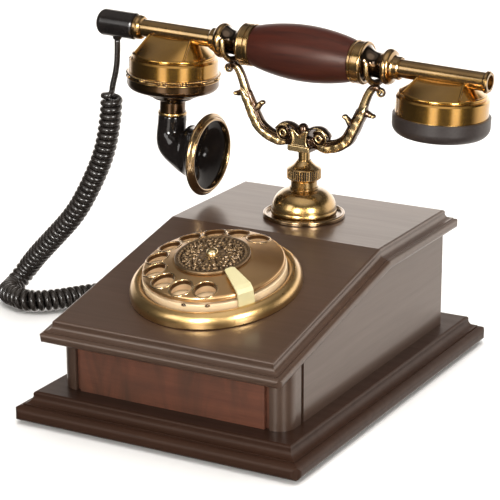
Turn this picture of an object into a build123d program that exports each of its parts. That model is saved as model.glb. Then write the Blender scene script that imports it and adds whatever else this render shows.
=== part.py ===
from build123d import *
import math
import os

os.makedirs("parts", exist_ok=True)

# ---------------------------------------------------------------------------
# Antique-style table telephone with a rotary dial.
# Frame: millimetres, +X to the right of a person facing the dial, +Y to the
# back, +Z up, origin on the table under the centre of the plinth.
# ---------------------------------------------------------------------------

# --- wooden case ---
PLINTH_X = 92.5          # half width of the plinth
PLINTH_Y = 129.0         # half depth of the plinth
PLINTH_TOP = 18.0        # height of the plinth's upper face
PLINTH_R = 5.0           # rounding of its foot's corners in plan
FELT_T = 1.5             # thickness of the felt sole
OPEN_X, OPEN_Y = 58.0, 86.0      # opening through the plinth
COVER_X, COVER_Y = 63.7, 91.7    # bottom cover in its rebate
COVER_T = 2.9
CASE_X = 74.0            # half width of the case
CASE_F = -106.5          # front face
CASE_R = 98.0            # rear face
WALL = 8.0
POST_IN = 63.0           # inner edge of the front posts
POST_BACK = -90.0        # rear edge of the front posts
POST_R = 10.0            # rounding of the posts' outer corner
GROOVE = 3.0             # width of the shadow groove beside each post
GROOVE_D = 2.5           # its depth
LID_X = 69.4             # half width of the lid's upper surface
LID_F = (-115.4, 62.5)   # front upper edge (y, z)
LID_B = (14.0, 89.8)     # break between slope and flat (y, z)
LID_R = 105.2            # rear upper edge (y)
LID_T = 12.2             # thickness of the lid
LID_E = 8.5              # how far the lid's moulding stands out
LID_ROUND = 3.4          # rounding of its corners in plan

# --- dial, measured from the slope's surface ---
DIAL_S = 63.0            # distance of the dial centre from the front edge
BEZEL_R, BEZEL_IN, BEZEL_H = 50.0, 42.6, 8.7
CUP_R, CUP_H = 41.7, 11.5
WHEEL_R = 41.0
HOLE_R, HOLE_PCR, HOLE_N = 6.3, 33.7, 10
HOLE_A0, HOLE_STEP = 68.5, 24.8
MEDAL_R, MEDAL_H0, MEDAL_H1 = 22.0, 19.0, 21.3
STOP_ANG = -36.5
SHAFT_R = 3.0
FIT = 0.05               # radial running clearance
GEAR_M, GEAR_Z, PIN_Z = 0.8, 60, 12
GEAR_ANG = 200.0         # direction of the governor from the dial shaft

# --- cradle ---
CR_Y = 54.0              # cradle axis
STEM_R = 3.6
KNURLS = 44              # flutes round the collar
HOOK_TRAVEL = 7.0

# --- handset, measured from its own axis ---
HS_Z = 191.2             # height of the handset's axis at its middle
TILT = 2.5               # the right-hand end sits lower by this angle
TUBE_R = 5.55
NECK_X = 48.5            # where the saddles hold the necks
CUP_X = 91.3             # distance of both cups from the middle
HORN_Z = -74.0           # height of the horn's axis
EXIT_X = -133.1          # where the cord leaves the handset

# --- curly cord ---
WIRE_D = 3.9
COIL_D = 14.6


# ---------------------------------------------------------------------------
# helpers
# ---------------------------------------------------------------------------
def chain(pts):
    """Edges through points; a 4-tuple is an arc: through-point, then end."""
    out, cur = [], pts[0]
    for p in pts[1:]:
        if len(p) == 2:
            if math.dist(cur, p) > 1e-6:
                out.append(Line(cur, p))
            cur = p
        else:
            out.append(ThreePointArc(cur, (p[0], p[1]), (p[2], p[3])))
            cur = (p[2], p[3])
    if math.dist(cur, pts[0]) > 1e-6:
        out.append(Line(cur, pts[0]))
    return out


def turned(pts):
    """Solid of revolution about Z from a closed (radius, height) outline."""
    return revolve(Plane.XZ * make_face(chain(pts)), Axis.Z)


def turned_x(pts):
    """Solid of revolution about X from a closed (radius, x) outline."""
    return Rot(0, 90, 0) * turned(pts)


def block(x0, x1, y0, y1, z0, z1):
    return Pos((x0 + x1) / 2, (y0 + y1) / 2, (z0 + z1) / 2) * Box(x1 - x0, y1 - y0, z1 - z0)


def cyl(r, z0, z1, x=0.0, y=0.0):
    return Pos(x, y, (z0 + z1) / 2) * Cylinder(r, z1 - z0)


def solids(shape):
    return list(shape.solids())


SAVED = {}


def save(name, *shapes):
    items = []
    for s in shapes:
        items += solids(s)
    out = items[0] if len(items) == 1 else Compound(children=items)
    export_step(out, f"parts/{name}.step")
    SAVED[name] = sum(i.volume for i in items)


def mirrored(shape):
    return mirror(shape, about=Plane.YZ)


def half_profile(seq, flip, half, down):
    """Maps a moulding's (offset, depth) chain to one side of a section."""
    res = []
    for p in seq:
        q = []
        for k in range(0, len(p), 2):
            a = half(p[k])
            q += [(-a if flip else a), down(p[k + 1])]
        res.append(tuple(q))
    return res


def reverse_chain(seq):
    """The same chain walked the other way."""
    pts = []
    ends = [p[-2:] for p in seq]
    pts.append(ends[-1])
    for k in range(len(seq) - 1, 0, -1):
        prev = ends[k - 1]
        if len(seq[k]) == 4:
            pts.append((seq[k][0], seq[k][1], prev[0], prev[1]))
        else:
            pts.append(prev)
    return pts


def moulded_section(seq, half, down):
    """Closed symmetric section whose two sides carry the moulding."""
    right = half_profile(seq, False, half, down)
    left = reverse_chain(half_profile(seq, True, half, down))
    return make_face(chain(right + left))


# ---------------------------------------------------------------------------
# felt sole, plinth and bottom cover
# ---------------------------------------------------------------------------
save("felt_sole", block(-84, 84, -120, 120, 0, FELT_T))

# inset from the outer face against height, from the bottom edge to the top
PLINTH_SEQ = [
    (3.0, FELT_T), (0.85, 2.6, 0.0, 5.0), (0.0, 5.9), (1.15, 9.2, 4.0, 10.5),
    (4.5, 10.5), (4.5, 11.3), (7.65, 12.6, 8.9, 15.9), (8.9, 16.4), (9.37, 17.53, 10.5, PLINTH_TOP),
]
sec_y = moulded_section(PLINTH_SEQ, lambda o: PLINTH_Y - o, lambda z: z)
sec_x = moulded_section(PLINTH_SEQ, lambda o: PLINTH_X - o, lambda z: z)
run_x = extrude(Plane.YZ * sec_y, 110, both=True)
run_y = extrude(Plane.XZ * sec_x, 150, both=True)
plinth = run_x & run_y & extrude(RectangleRounded(2 * PLINTH_X, 2 * PLINTH_Y, PLINTH_R), 40)
plinth -= block(-OPEN_X, OPEN_X, -OPEN_Y, OPEN_Y, 0, 30)
plinth -= block(-COVER_X - 0.3, COVER_X + 0.3, -COVER_Y - 0.3, COVER_Y + 0.3, 0, FELT_T + COVER_T)
BASE_SCREWS = [(sx * 61.0, sy * 70.0) for sx in (-1, 1) for sy in (-1, 1)]
for x, y in BASE_SCREWS:
    plinth -= cyl(1.52, 0, 13.0, x, y)
save("plinth", plinth)

cover = block(-COVER_X, COVER_X, -COVER_Y, COVER_Y, FELT_T, FELT_T + COVER_T)
for x, y in BASE_SCREWS:
    cover -= cyl(1.6, 0, 10, x, y) + Pos(x, y, FELT_T + 0.75) * Cone(2.9, 1.6, 1.5)
# plain row of sound slots over the bells
for k in range(-3, 4):
    cover -= block(k * 9 - 1.5, k * 9 + 1.5, 8, 30, 0, 10)
# bosses that carry the board
C_TOP = FELT_T + COVER_T
SO = [(sx * 45.0, y) for sx in (-1, 1) for y in (-78.0, -22.0)]
for x, y in SO:
    cover += cyl(3.0, C_TOP, 11.0, x, y) + cyl(1.4, 11.0, 14.2, x, y)
save("bottom_cover", cover)

screw_list = []
for x, y in BASE_SCREWS:
    s = Pos(x, y, 0) * turned([(0, FELT_T), (2.85, FELT_T), (1.5, FELT_T + 1.5), (1.5, 12.5), (0, 12.5)])
    s -= block(x - 4.0, x + 4.0, y - 0.35, y + 0.35, FELT_T - 0.1, FELT_T + 0.7)
    screw_list.append(s)
save("base_screws", *screw_list)

# ---------------------------------------------------------------------------
# lid: a moulded board on the slope and one on the flat, mitred at the break
# ---------------------------------------------------------------------------
LID_SEQ = [
    (0.0, 0.0), (1.15, 0.35, 1.7, 1.5), (1.7, 2.2), (2.7, 4.6, 5.15, 5.6),
    (5.75, 5.6), (5.75, 6.2), (7.75, 6.95, LID_E, 8.8), (LID_E, 9.4), (7.8, 11.4, 5.9, LID_T),
]
SL = math.atan2(LID_B[1] - LID_F[1], LID_B[0] - LID_F[0])
SIN, COS = math.sin(SL), math.cos(SL)
SLOPE_LEN = math.dist(LID_F, LID_B)
slope_plane = Plane(origin=(0, LID_F[0], LID_F[1]), x_dir=(1, 0, 0), z_dir=(0, -SIN, COS))
across = moulded_section(LID_SEQ, lambda e: LID_X + e, lambda d: -d)


def board(length, front):
    """Board from y=0, moulded on both sides and on its front (or rear) end."""
    a = extrude(Plane.XZ * across, 220, both=True)
    side = half_profile(LID_SEQ, False, lambda e: -e, lambda d: -d)
    pts = side + [(length, -LID_T), (length, 0)]
    b = extrude(Plane.YZ * make_face(chain(pts)), 110, both=True)
    s = a & b
    for sx in (-1, 1):
        cx = LID_X + LID_E - LID_ROUND
        off = block(cx, cx + LID_ROUND + 1, -LID_E - 1, LID_ROUND - LID_E, -LID_T - 1, 1)
        off -= cyl(LID_ROUND, -LID_T - 2, 2, cx, LID_ROUND - LID_E)
        s -= off if sx > 0 else mirrored(off)
    return s if front else mirror(s, about=Plane.XZ)


slope_board = slope_plane * board(SLOPE_LEN + 20, True)
flat_board = Pos(0, LID_R, LID_B[1]) * board(LID_R - LID_B[0] + 20, False)
mit = Vector(0, COS + 1, SIN).normalized()
mitre = Plane(origin=(0, LID_B[0], LID_B[1]), x_dir=(1, 0, 0), z_dir=mit)
slope_board = slope_board & (mitre * block(-120, 120, -80, 80, -200, 0))
flat_board = flat_board & (mitre * block(-120, 120, -80, 80, 0, 200))
lid = slope_board + flat_board

n_vec = Vector(0, -SIN, COS)
dial_c = Vector(0, LID_F[0] + DIAL_S * COS, LID_F[1] + DIAL_S * SIN)
dial = Plane(origin=dial_c, x_dir=(1, 0, 0), z_dir=n_vec)
BEZEL_SCREW_A = (90.0, 210.0, 330.0)


def polar(r, deg):
    return r * math.cos(math.radians(deg)), r * math.sin(math.radians(deg))


lid -= dial * cyl(36.0, -20, 5)
for a in BEZEL_SCREW_A:
    px, py = polar(47.3, a)
    lid -= dial * cyl(1.52, -20, 5, px, py)
BUSH_R = 6.5
lid -= cyl(BUSH_R + 0.03, 60, 100, 0, CR_Y)
save("lid", lid)

# everything above the lid's underside, for trimming the case walls
half_a = SL / 2
under_f = (LID_F[0] + LID_T * SIN, LID_F[1] - LID_T * COS)
under_b = (LID_B[0] + LID_T * math.tan(half_a), LID_B[1] - LID_T)
ext = 60.0
over = [
    (under_f[0] - ext * COS, under_f[1] - ext * SIN), under_b,
    (200.0, under_b[1]), (200.0, 260.0), (under_f[0] - ext * COS, 260.0),
]
over_lid = extrude(Plane.YZ * make_face(chain(over)), 200, both=True)

# ---------------------------------------------------------------------------
# case walls
# ---------------------------------------------------------------------------
post = block(POST_IN, CASE_X, CASE_F, POST_BACK, PLINTH_TOP, 120)
corner = [e for e in post.edges().filter_by(Axis.Z) if e.center().X > CASE_X - 0.1 and e.center().Y < CASE_F + 0.1]
post = fillet(corner, POST_R) - over_lid
save("front_posts", post, mirrored(post))

front = block(-POST_IN, POST_IN, CASE_F + GROOVE_D, CASE_F + WALL, PLINTH_TOP, 120)
front += block(-POST_IN + GROOVE, POST_IN - GROOVE, CASE_F, CASE_F + WALL, PLINTH_TOP, 120)
save("front_panel", front - over_lid)

side = block(CASE_X - WALL, CASE_X, POST_BACK + GROOVE, CASE_R, PLINTH_TOP, 120)
side += block(CASE_X - WALL, CASE_X - GROOVE_D, POST_BACK, CASE_R, PLINTH_TOP, 120)
side -= over_lid
save("side_panels", side, mirrored(side))

JACK = (46.0, 36.0)      # x, z of the line jack in the back panel
GLAND = (-46.0, 44.0)    # x, z of the cord gland
back_in = CASE_R - 0.6 - WALL
back = block(-CASE_X + WALL, CASE_X - WALL, back_in, CASE_R - 0.6, PLINTH_TOP, 120) - over_lid
back -= block(JACK[0] - 8.0, JACK[0] + 8.0, 60, 120, JACK[1] - 7.5, JACK[1] + 7.5)
back -= Pos(GLAND[0], 94, GLAND[1]) * Rot(90, 0, 0) * Cylinder(3.0, 40)
save("back_panel", back)

blocks = []
for sx in (-1, 1):
    b = block(54.0, CASE_X - WALL, back_in - 12, back_in, PLINTH_TOP, 120)
    c = block(53.0, POST_IN, CASE_F + WALL, CASE_F + WALL + 10, PLINTH_TOP, 120)
    for s in (b, c):
        s = s - over_lid
        blocks.append(s if sx > 0 else mirrored(s))
save("glue_blocks", *blocks)

# ---------------------------------------------------------------------------
# line jack and cord gland in the back panel
# ---------------------------------------------------------------------------
jk = block(JACK[0] - 7.9, JACK[0] + 7.9, back_in - 4, CASE_R - 0.6, JACK[1] - 7.4, JACK[1] + 7.4)
jk += block(JACK[0] - 10.5, JACK[0] + 10.5, CASE_R - 0.6, CASE_R + 1.0, JACK[1] - 10, JACK[1] + 10)
jk -= block(JACK[0] - 5.0, JACK[0] + 5.0, back_in + 0.5, 120, JACK[1] - 3.6, JACK[1] + 3.6)
jk -= block(JACK[0] - 3.0, JACK[0] + 3.0, back_in + 0.5, 120, JACK[1] - 5.6, JACK[1] - 3.5)
save("line_jack", jk)

GLAND_Y = CASE_R + 8.0
gl = turned([(0, 0), (2.95, 0), (2.95, 9.0), (5.6, 9.0), (5.6, 10.4), (4.8, 11.2), (2.7, 17.0), (0, 17.0)])
save("cord_gland", Pos(GLAND[0], GLAND_Y - 17.0, GLAND[1]) * Rot(-90, 0, 0) * gl)

# ---------------------------------------------------------------------------
# dial: outlines are (radius, height above the slope)
# ---------------------------------------------------------------------------
bezel = turned([
    (45.1, 0), (49.4, 0), (49.85, 0.25, 50.0, 0.9), (50.0, 1.6), (49.0, 5.9, 46.4, 8.4),
    (44.4, 8.6, BEZEL_IN, 7.2), (BEZEL_IN, 1.25), (45.1, 1.25),
])
for a in BEZEL_SCREW_A:
    px, py = polar(47.3, a)
    bezel -= cyl(1.25, -1, 4.5, px, py)

scr = []
for a in BEZEL_SCREW_A:
    px, py = polar(47.3, a)
    s = cyl(1.2, -LID_T - 0.5, 4.2, px, py) + cyl(2.6, -LID_T - 2.0, -LID_T, px, py)
    s -= block(px - 2.0, px + 2.0, py - 0.3, py + 0.3, -LID_T - 2.1, -LID_T - 1.3)
    scr.append(dial * s)

cup = turned([
    (37.0, 0), (45.0, 0), (45.0, 1.2), (CUP_R, 1.2), (CUP_R, CUP_H - 0.5), (CUP_R - 0.15, CUP_H - 0.15, CUP_R - 0.5, CUP_H),
    (6.0, CUP_H), (6.0, CUP_H - 1.1), (CUP_R - 1.4, CUP_H - 1.1), (CUP_R - 1.4, 1.2), (37.0, 1.2),
])
save("number_cup", dial * cup)

wheel = turned([
    (SHAFT_R + FIT, 17.4), (22.4, 17.4), (38.6, 14.3), (39.0, 12.6), (40.2, 12.5), (41.0, 12.9, WHEEL_R, 13.7),
    (40.9, 14.9, 39.6, 15.75), (23.4, 19.0), (SHAFT_R + FIT, 19.0),
])
for k in range(HOLE_N):
    px, py = polar(HOLE_PCR, HOLE_A0 + k * HOLE_STEP)
    wheel -= cyl(HOLE_R, 5, 30, px, py)
save("finger_wheel", dial * wheel)

medal = turned([
    (1.6, MEDAL_H0), (MEDAL_R, MEDAL_H0), (MEDAL_R, 20.2), (21.7, 20.9, 20.8, MEDAL_H1),
    (19.6, MEDAL_H1), (18.8, 20.6), (8.5, 20.9), (7.6, MEDAL_H1 + 0.2), (1.6, MEDAL_H1 + 0.2),
])
save("dial_medallion", dial * medal)

mscrew = turned([
    (0, 9.0), (1.5, 9.0), (1.5, MEDAL_H1 + 0.2), (3.6, MEDAL_H1 + 0.2), (3.6, 22.3), (2.9, 23.6, 0, 24.0),
])
mscrew -= block(-4, 4, -0.4, 0.4, 23.0, 26)
save("medallion_screw", dial * mscrew)

# finger stop: a bent strip let into the bezel's inner edge, up and over the wheel
st = [
    (42.45, 4.8), (42.45, 15.6), (41.6, 17.2), (40.0, 18.0), (23.2, 21.3), (23.0, 22.5), (39.9, 19.5), (42.6, 18.3), (44.0, 16.2),
    (44.1, 4.8),
]
stop = extrude(Plane.XZ * make_face(chain(st)), 6.0, both=True)
plan = make_face(chain([
    (22.9, -1.7), (24.0, -3.0), (40.5, -4.9), (48.3, -4.6), (48.3, 4.6), (40.5, 4.9), (24.0, 3.0), (22.9, 1.7),
]))
stop = Rot(0, 0, STOP_ANG) * (stop & extrude(plan, 40))
save("finger_stop", dial * stop)
bezel -= stop
save("dial_bezel", dial * bezel)

# works under the lid
F0 = -LID_T              # lid underside
gear_cd = GEAR_M * (GEAR_Z + PIN_Z) / 2 + 0.12
gx, gy = polar(gear_cd, GEAR_ANG)
frame_p = cyl(45.5, F0 - 2.5, F0) - cyl(30.0, F0 - 3, F0 + 1)
frame_p += block(-44, 44, -7.5, 7.5, F0 - 2.5, F0) + block(-7.5, 7.5, -44, 44, F0 - 2.5, F0)
frame_p += cyl(7.0, F0 - 2.5, 1.9)
frame_p += cyl(6.0, F0 - 2.5, F0, gx, gy)
frame_p += Rot(0, 0, GEAR_ANG) * block(7, 36, -5, 5, F0 - 2.5, F0)
frame_p -= cyl(SHAFT_R + FIT, -40, 10)
frame_p -= cyl(1.55, -40, 10, gx, gy)
for a in BEZEL_SCREW_A:
    px, py = polar(47.3, a)
    frame_p -= cyl(3.2, -40, 10, px, py)
frame_p += cyl(1.4, -28.0, F0 - 2.4, *polar(29.0, 40.0))
frame_p -= cyl(1.3, -40, 10, *polar(38.0, 45.0)) + cyl(1.3, -40, 10, *polar(38.0, 135.0)) + cyl(1.3, -40, 10, *polar(38.0, 270.0))
save("dial_frame", dial * frame_p)
fsc = []
for a in (45.0, 135.0, 270.0):
    px, py = polar(38.0, a)
    s = cyl(1.25, F0 - 2.6, F0 + 8, px, py) + cyl(2.5, F0 - 4.0, F0 - 2.5, px, py)
    fsc.append(dial * s)
save("dial_screws", *scr, *fsc)
# their pilot holes in the lid
for a in (45.0, 135.0, 270.0):
    px, py = polar(38.0, a)
    lid -= dial * cyl(1.28, -14, F0 + 8.2, px, py)
save("lid", lid)

shaft = cyl(SHAFT_R, -30.0, 19.0) + cyl(4.8, 2.0, 17.4) + cyl(4.4, -26.4, -21.0)
shaft -= cyl(1.53, 8.5, 30)
save("dial_shaft", dial * shaft)


def gear(z, m, h0, h1, bore, phase, thick):
    """Spur gear with straight-flanked teeth, one tooth centred on phase."""
    rp, ra, rf = m * z / 2, m * (z / 2 + 0.62), m * (z / 2 - 0.95)
    pitch = 360.0 / z
    pts = []
    for k in range(z):
        c = phase + k * pitch
        for r, w in ((rf, 0.66), (rp, thick), (ra, 0.20), (ra, -0.20), (rp, -thick), (rf, -0.66)):
            pts.append(polar(r, c - w * pitch / 2))
    body = extrude(make_face(Polyline(*pts, close=True)), h1 - h0)
    return Pos(0, 0, h0) * body - cyl(bore, h0 - 1, h1 + 1)


mg = gear(GEAR_Z, GEAR_M, -19.4, -17.4, SHAFT_R + 0.02, GEAR_ANG, 0.40)
mg += cyl(5.5, -17.4, F0 - 2.6) - cyl(SHAFT_R + 0.02, -40, 10)
for k in range(5):
    mg -= cyl(5.0, -30, -17.3, *polar(14.0, 36 + 72 * k))
save("main_gear", dial * mg)

pin = gear(PIN_Z, GEAR_M, -19.8, -17.0, 0.5, GEAR_ANG + 180.0 + 15.0, 0.40)
pin += cyl(1.5, -33.4, F0 - 0.2) + cyl(3.0, -17.0, F0 - 2.6)
pin = Pos(gx, gy, 0) * pin
wgt = cyl(4.0, -30.0, -26.5) + block(-8.0, 8.0, -1.6, 1.6, -29.5, -27.0) + cyl(2.6, -30.0, -26.5, 7.0, 0) + cyl(2.6, -30.0, -26.5, -7.0, 0)
save("governor_rotor", dial * (pin + Pos(gx, gy, 0) * wgt))
drum = cyl(13.0, -34.0, -25.5) - cyl(11.2, -31.6, -20)
drum -= cyl(1.55, -40, 0)
drum += block(11.0, 14.6, -4, 4, -34.0, F0 - 2.5)
drum -= block(-20, 20, -20, 20, -25.5, -20.5) & Pos(-gear_cd, 0, 0) * cyl(25.4, -30, -16)
save("governor_drum", dial * (Pos(gx, gy, 0) * Rot(0, 0, GEAR_ANG) * drum))

# clock spring from the shaft's collar out to the frame's post, as half turns
SPR_T, SPR_R0, SPR_STEP, SPR_N = 0.7, 4.45, 0.75, 15
POST_PR, POST_A = 29.0, 40.0
edges_in, edges_out = [], []
cur_c, cur_r = 0.0, SPR_R0
for k in range(SPR_N):
    sgn = 1 if k % 2 == 0 else -1
    for r, lst in ((cur_r, edges_in), (cur_r + SPR_T, edges_out)):
        lst.append(((cur_c + sgn * r, 0.0), (cur_c, sgn * r), (cur_c - sgn * r, 0.0)))
    last = cur_c - sgn * cur_r
    cur_c, cur_r = cur_c + sgn * SPR_STEP, cur_r + SPR_STEP
spiral = [ThreePointArc(*e) for e in edges_in] + [ThreePointArc(*e) for e in edges_out]
spiral.append(Line(edges_in[0][0], edges_out[0][0]))
spiral.append(Line(edges_in[-1][2], edges_out[-1][2]))
clock = Pos(0, 0, -25.6) * extrude(make_face(spiral), 3.6)
clock += block(-POST_PR + 1.45, last, -SPR_T, 0.05, -25.6, -22.0)
save("dial_return_spring", dial * (Rot(0, 0, POST_A + 180.0) * clock))

cb_a = 310.0
cb = block(20.0, 29.0, -4.0, 4.0, -24.0, F0 - 2.5) - block(15, 26, -10, 10, -21.0, -16.4)
for k in range(2):
    cb += block(26.6, 28.6, -18.0, -3.5, -23.6 + 2.4 * k, -23.2 + 2.4 * k)
save("pulse_contacts", dial * (Rot(0, 0, cb_a) * cb))

# ---------------------------------------------------------------------------
# cradle support on the lid
# ---------------------------------------------------------------------------
Z0 = LID_B[1]
fl = turned([
    (BUSH_R + 0.05, Z0), (24.6, Z0), (25.3, Z0 + 0.5), (25.3, Z0 + 1.6), (25.0, Z0 + 2.55, 24.1, Z0 + 2.8),
    (23.35, Z0 + 2.55, 23.0, Z0 + 1.9), (22.6, Z0 + 1.0), (BUSH_R + 0.05, Z0 + 1.0),
])
save("cradle_flange", Pos(0, CR_Y, 0) * fl)
dm = turned([
    (BUSH_R + 0.05, Z0 + 1.0), (19.6, Z0 + 1.0), (20.3, Z0 + 2.9, 20.0, Z0 + 5.0), (17.2, Z0 + 12.9, 9.4, Z0 + 17.6),
    (8.9, Z0 + 17.9), (8.9, Z0 + 18.8), (8.2, Z0 + 19.2), (8.1, Z0 + 22.4), (8.6, Z0 + 23.2), (9.4, Z0 + 23.8), (BUSH_R + 0.05, Z0 + 23.8),
])
save("cradle_dome", Pos(0, CR_Y, 0) * dm)
kc = turned([
    (BUSH_R + 0.05, Z0 + 23.8), (9.8, Z0 + 23.8), (10.5, Z0 + 24.4), (10.5, Z0 + 30.3), (9.8, Z0 + 30.9), (9.2, Z0 + 31.1),
    (6.5, Z0 + 32.9, 4.4, Z0 + 35.4), (STEM_R + 0.4, Z0 + 35.4), (STEM_R + 0.4, Z0 + 27.0), (BUSH_R + 0.05, Z0 + 27.0),
])
for k in range(KNURLS):
    kc -= cyl(0.55, Z0 + 24.5, Z0 + 30.2, *polar(10.63, 360.0 * k / KNURLS))
save("knurled_collar", Pos(0, CR_Y, 0) * kc)

bush = turned([
    (STEM_R + FIT, 62.0), (5.6, 62.0), (5.6, 74.2), (11.5, 74.2), (11.5, LID_B[1] - LID_T), (BUSH_R, LID_B[1] - LID_T),
    (BUSH_R, Z0 + 26.9), (STEM_R + FIT, Z0 + 26.9),
])
save("plunger_bush", Pos(0, CR_Y, 0) * bush)

STEM_TOP = 139.0
stem = turned([
    (0, 36.0), (2.6, 36.0), (STEM_R, 37.0), (STEM_R, 53.4), (2.9, 53.4), (2.9, 54.9), (STEM_R, 54.9),
    (STEM_R, 131.0), (3.0, 131.0), (3.0, STEM_TOP), (0, STEM_TOP),
])
save("hook_stem", Pos(0, CR_Y, 0) * stem)
clip = cyl(7.2, 53.5, 54.8) - cyl(2.93, 50, 60) - block(-2.0, 2.0, 0, 10, 50, 60)
save("retaining_clip", Pos(0, CR_Y, 0) * clip)

# ---------------------------------------------------------------------------
# fork: arms and saddles follow the handset's tilt
# ---------------------------------------------------------------------------
tilt = Pos(0, CR_Y, HS_Z) * Rot(0, TILT, 0)       # handset frame: axis along X


def fork_pt(x, z):
    """Fork outline point in the handset frame, eased back over the stem."""
    dz = z - 132.0
    return x + 1.9 * max(0.0, 1.0 - dz / 44.0), z - HS_Z


ARM = [                  # x, z and radius along one arm, from the boss to the saddle
    (3.0, 138.4, 3.6), (10.5, 135.9, 3.6), (17.0, 136.0, 3.7), (24.0, 138.6, 3.7), (29.3, 142.4, 3.6), (32.5, 147.6, 3.6),
    (35.5, 153.8, 3.6), (38.8, 160.8, 3.4), (41.3, 167.2, 2.7), (43.8, 173.2, 2.2), (NECK_X, 177.6, 2.2),
]


def arm(sign):
    """Tapered limb through the outline points, with a round section square to its run at each."""
    pts = [fork_pt(sign * x, z) for x, z, r in ARM]
    line = Spline(*[(x, 0, z) for x, z in pts])
    hoops = []
    for (x, z), (_, _, r) in zip(pts, ARM):
        u = line.param_at_point(Vector(x, 0, z))
        hoops.append((Plane(origin=line @ u, x_dir=(0, 1, 0), z_dir=line % u) * Circle(r)).face())
    return loft(hoops)


fork = arm(1) + arm(-1)
SAD_R, SAD_T = 10.75, 2.6
for s in (-1, 1):
    ring = revolve(Plane.XY * (Pos(s * NECK_X, SAD_R) * Circle(SAD_T)), Axis.X, 180 if s > 0 else 180)
    lo = ring.bounding_box()
    if lo.max.Z > 1.0 + SAD_T:
        ring = Rot(180, 0, 0) * ring
    fork += ring
    for t in (-1, 1):
        fork += cyl(SAD_T, -0.01, 3.2, s * NECK_X, t * SAD_R) + Pos(s * NECK_X, t * SAD_R, 3.2) * Sphere(SAD_T)
    # scroll eyes beside the boss, leaf buds and end scrolls
    for (x, z, r, h) in ((12.0, 140.6, 5.2, 4.6), (51.4, 174.6, 2.6, 2.5)):
        px, pz = fork_pt(s * x, z)
        fork += Pos(px, 0, pz) * Rot(90, 0, 0) * Cylinder(r, 2 * h)
    for (xa, za, xb, zb, ra, rb) in ((33.6, 151.6, 27.9, 156.6, 2.7, 1.3), (40.4, 160.0, 47.0, 159.9, 2.5, 1.2)):
        pa, pb = fork_pt(s * xa, za), fork_pt(s * xb, zb)
        ln = math.dist(pa, pb)
        ang = math.degrees(math.atan2(pb[0] - pa[0], pb[1] - pa[1]))
        fork += Pos((pa[0] + pb[0]) / 2, 0, (pa[1] + pb[1]) / 2) * Rot(0, ang, 0) * Cone(ra, rb, ln)
        fork += Pos(pb[0], 0, pb[1]) * Sphere(rb * 1.45)
bx, bz = fork_pt(0, 137.3)
fork += Pos(bx, 0, bz) * Box(13.0, 13.0, 11.0)
bx, bz = fork_pt(0, 143.6)
fork += Pos(bx, 0, bz) * Cylinder(4.2, 3.0) + Pos(bx, 0, bz + 1.6) * Sphere(3.4)
fork = tilt * fork
fork -= cyl(3.03, 120, STEM_TOP + 0.05, 0, CR_Y)
fork -= cyl(12.0, 120, 131.0, 0, CR_Y)
save("cradle_fork", fork)

# hook switch: block on the back panel, leaf that pushes the stem up
sw_b = block(-9, 9, back_in - 14, back_in, 24, 44) - block(-5.2, 5.2, back_in - 15, back_in - 8, 33.0, 36.2)
save("hook_switch", sw_b)
lf = block(-4, 4, 50, back_in - 8, 34.2, 34.9) + block(-4, 4, 51.0, 57.0, 34.9, 35.9)
save("hook_leaf_spring", lf)

# ---------------------------------------------------------------------------
# board, ringer
# ---------------------------------------------------------------------------
pcb = block(-52, 52, -84, -16, 11.0, 12.6)
for x, y in SO:
    pcb -= cyl(1.45, 5, 20, x, y)
# soldered parts
pcb += block(-30, -14, -70, -56, 12.5, 21) + cyl(5.0, 12.5, 27.0, 4, -62) + cyl(4.0, 12.5, 24.0, 18, -64)
pcb += block(-38, -20, -44, -30, 12.5, 17.5) + block(0, 26, -46, -34, 12.5, 16.5)
save("circuit_board", pcb)

rb_ = block(-52, 52, -6, 46, 10.0, 12.0) - block(-36, 36, 27, 47, 8, 14) - block(-7, 7, 20, 30, 8, 14)
for sx in (-1, 1):
    for y in (-2.0, 23.0):
        rb_ += cyl(3.4, C_TOP, 10.0, sx * 48.0, y)
rb_ += cyl(3.0, 12.0, 26.0, -31.0, 16.0) + cyl(3.0, 12.0, 26.0, 31.0, 16.0)
rb_ += cyl(3.0, 12.0, 20.0, 0, -1.0)
rb_ -= cyl(1.3, 20.0 - 7.0, 30.0, 0, -1.0)
# the two wound coils sit on the bracket
for sx in (-1, 1):
    rb_ += Pos(sx * 14.0, -3.0, 18.0) * Rot(90, 0, 0) * Cylinder(6.2, 6.0)
save("ringer_bracket", rb_)
gong = turned([
    (0, 26.0), (4.0, 26.0), (4.0, 37.2), (9.0, 37.6), (17.0, 35.6, 20.4, 27.5), (20.4, 26.0), (21.9, 26.0), (21.9, 27.7),
    (18.2, 36.8, 9.2, 39.1), (2.0, 39.1), (1.2, 40.2), (0, 40.2),
])
save("ringer_gongs", Pos(-31.0, 16.0, 0) * gong, Pos(31.0, 16.0, 0) * gong)
clap = block(-2.0, 2.0, -5.0, 21.0, 20.4, 22.4) + cyl(3.6, 20.4, 24.0, 0, -1.0) + cyl(1.25, 13.2, 20.5, 0, -1.0)
clap += cyl(1.2, 22.0, 30.0, 0, 19.6) + Pos(0, 19.6, 30.0) * Sphere(4.6)
save("ringer_clapper", clap)

# ---------------------------------------------------------------------------
# handset, in its own frame: outlines are (radius, distance from the middle)
# ---------------------------------------------------------------------------
ROD_R = 3.0
RB = ROD_R + 0.05


def hs(name, shape):
    save(name, tilt * shape)


def pair(name, shape):
    save(name, tilt * shape, tilt * mirrored(shape))


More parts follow.
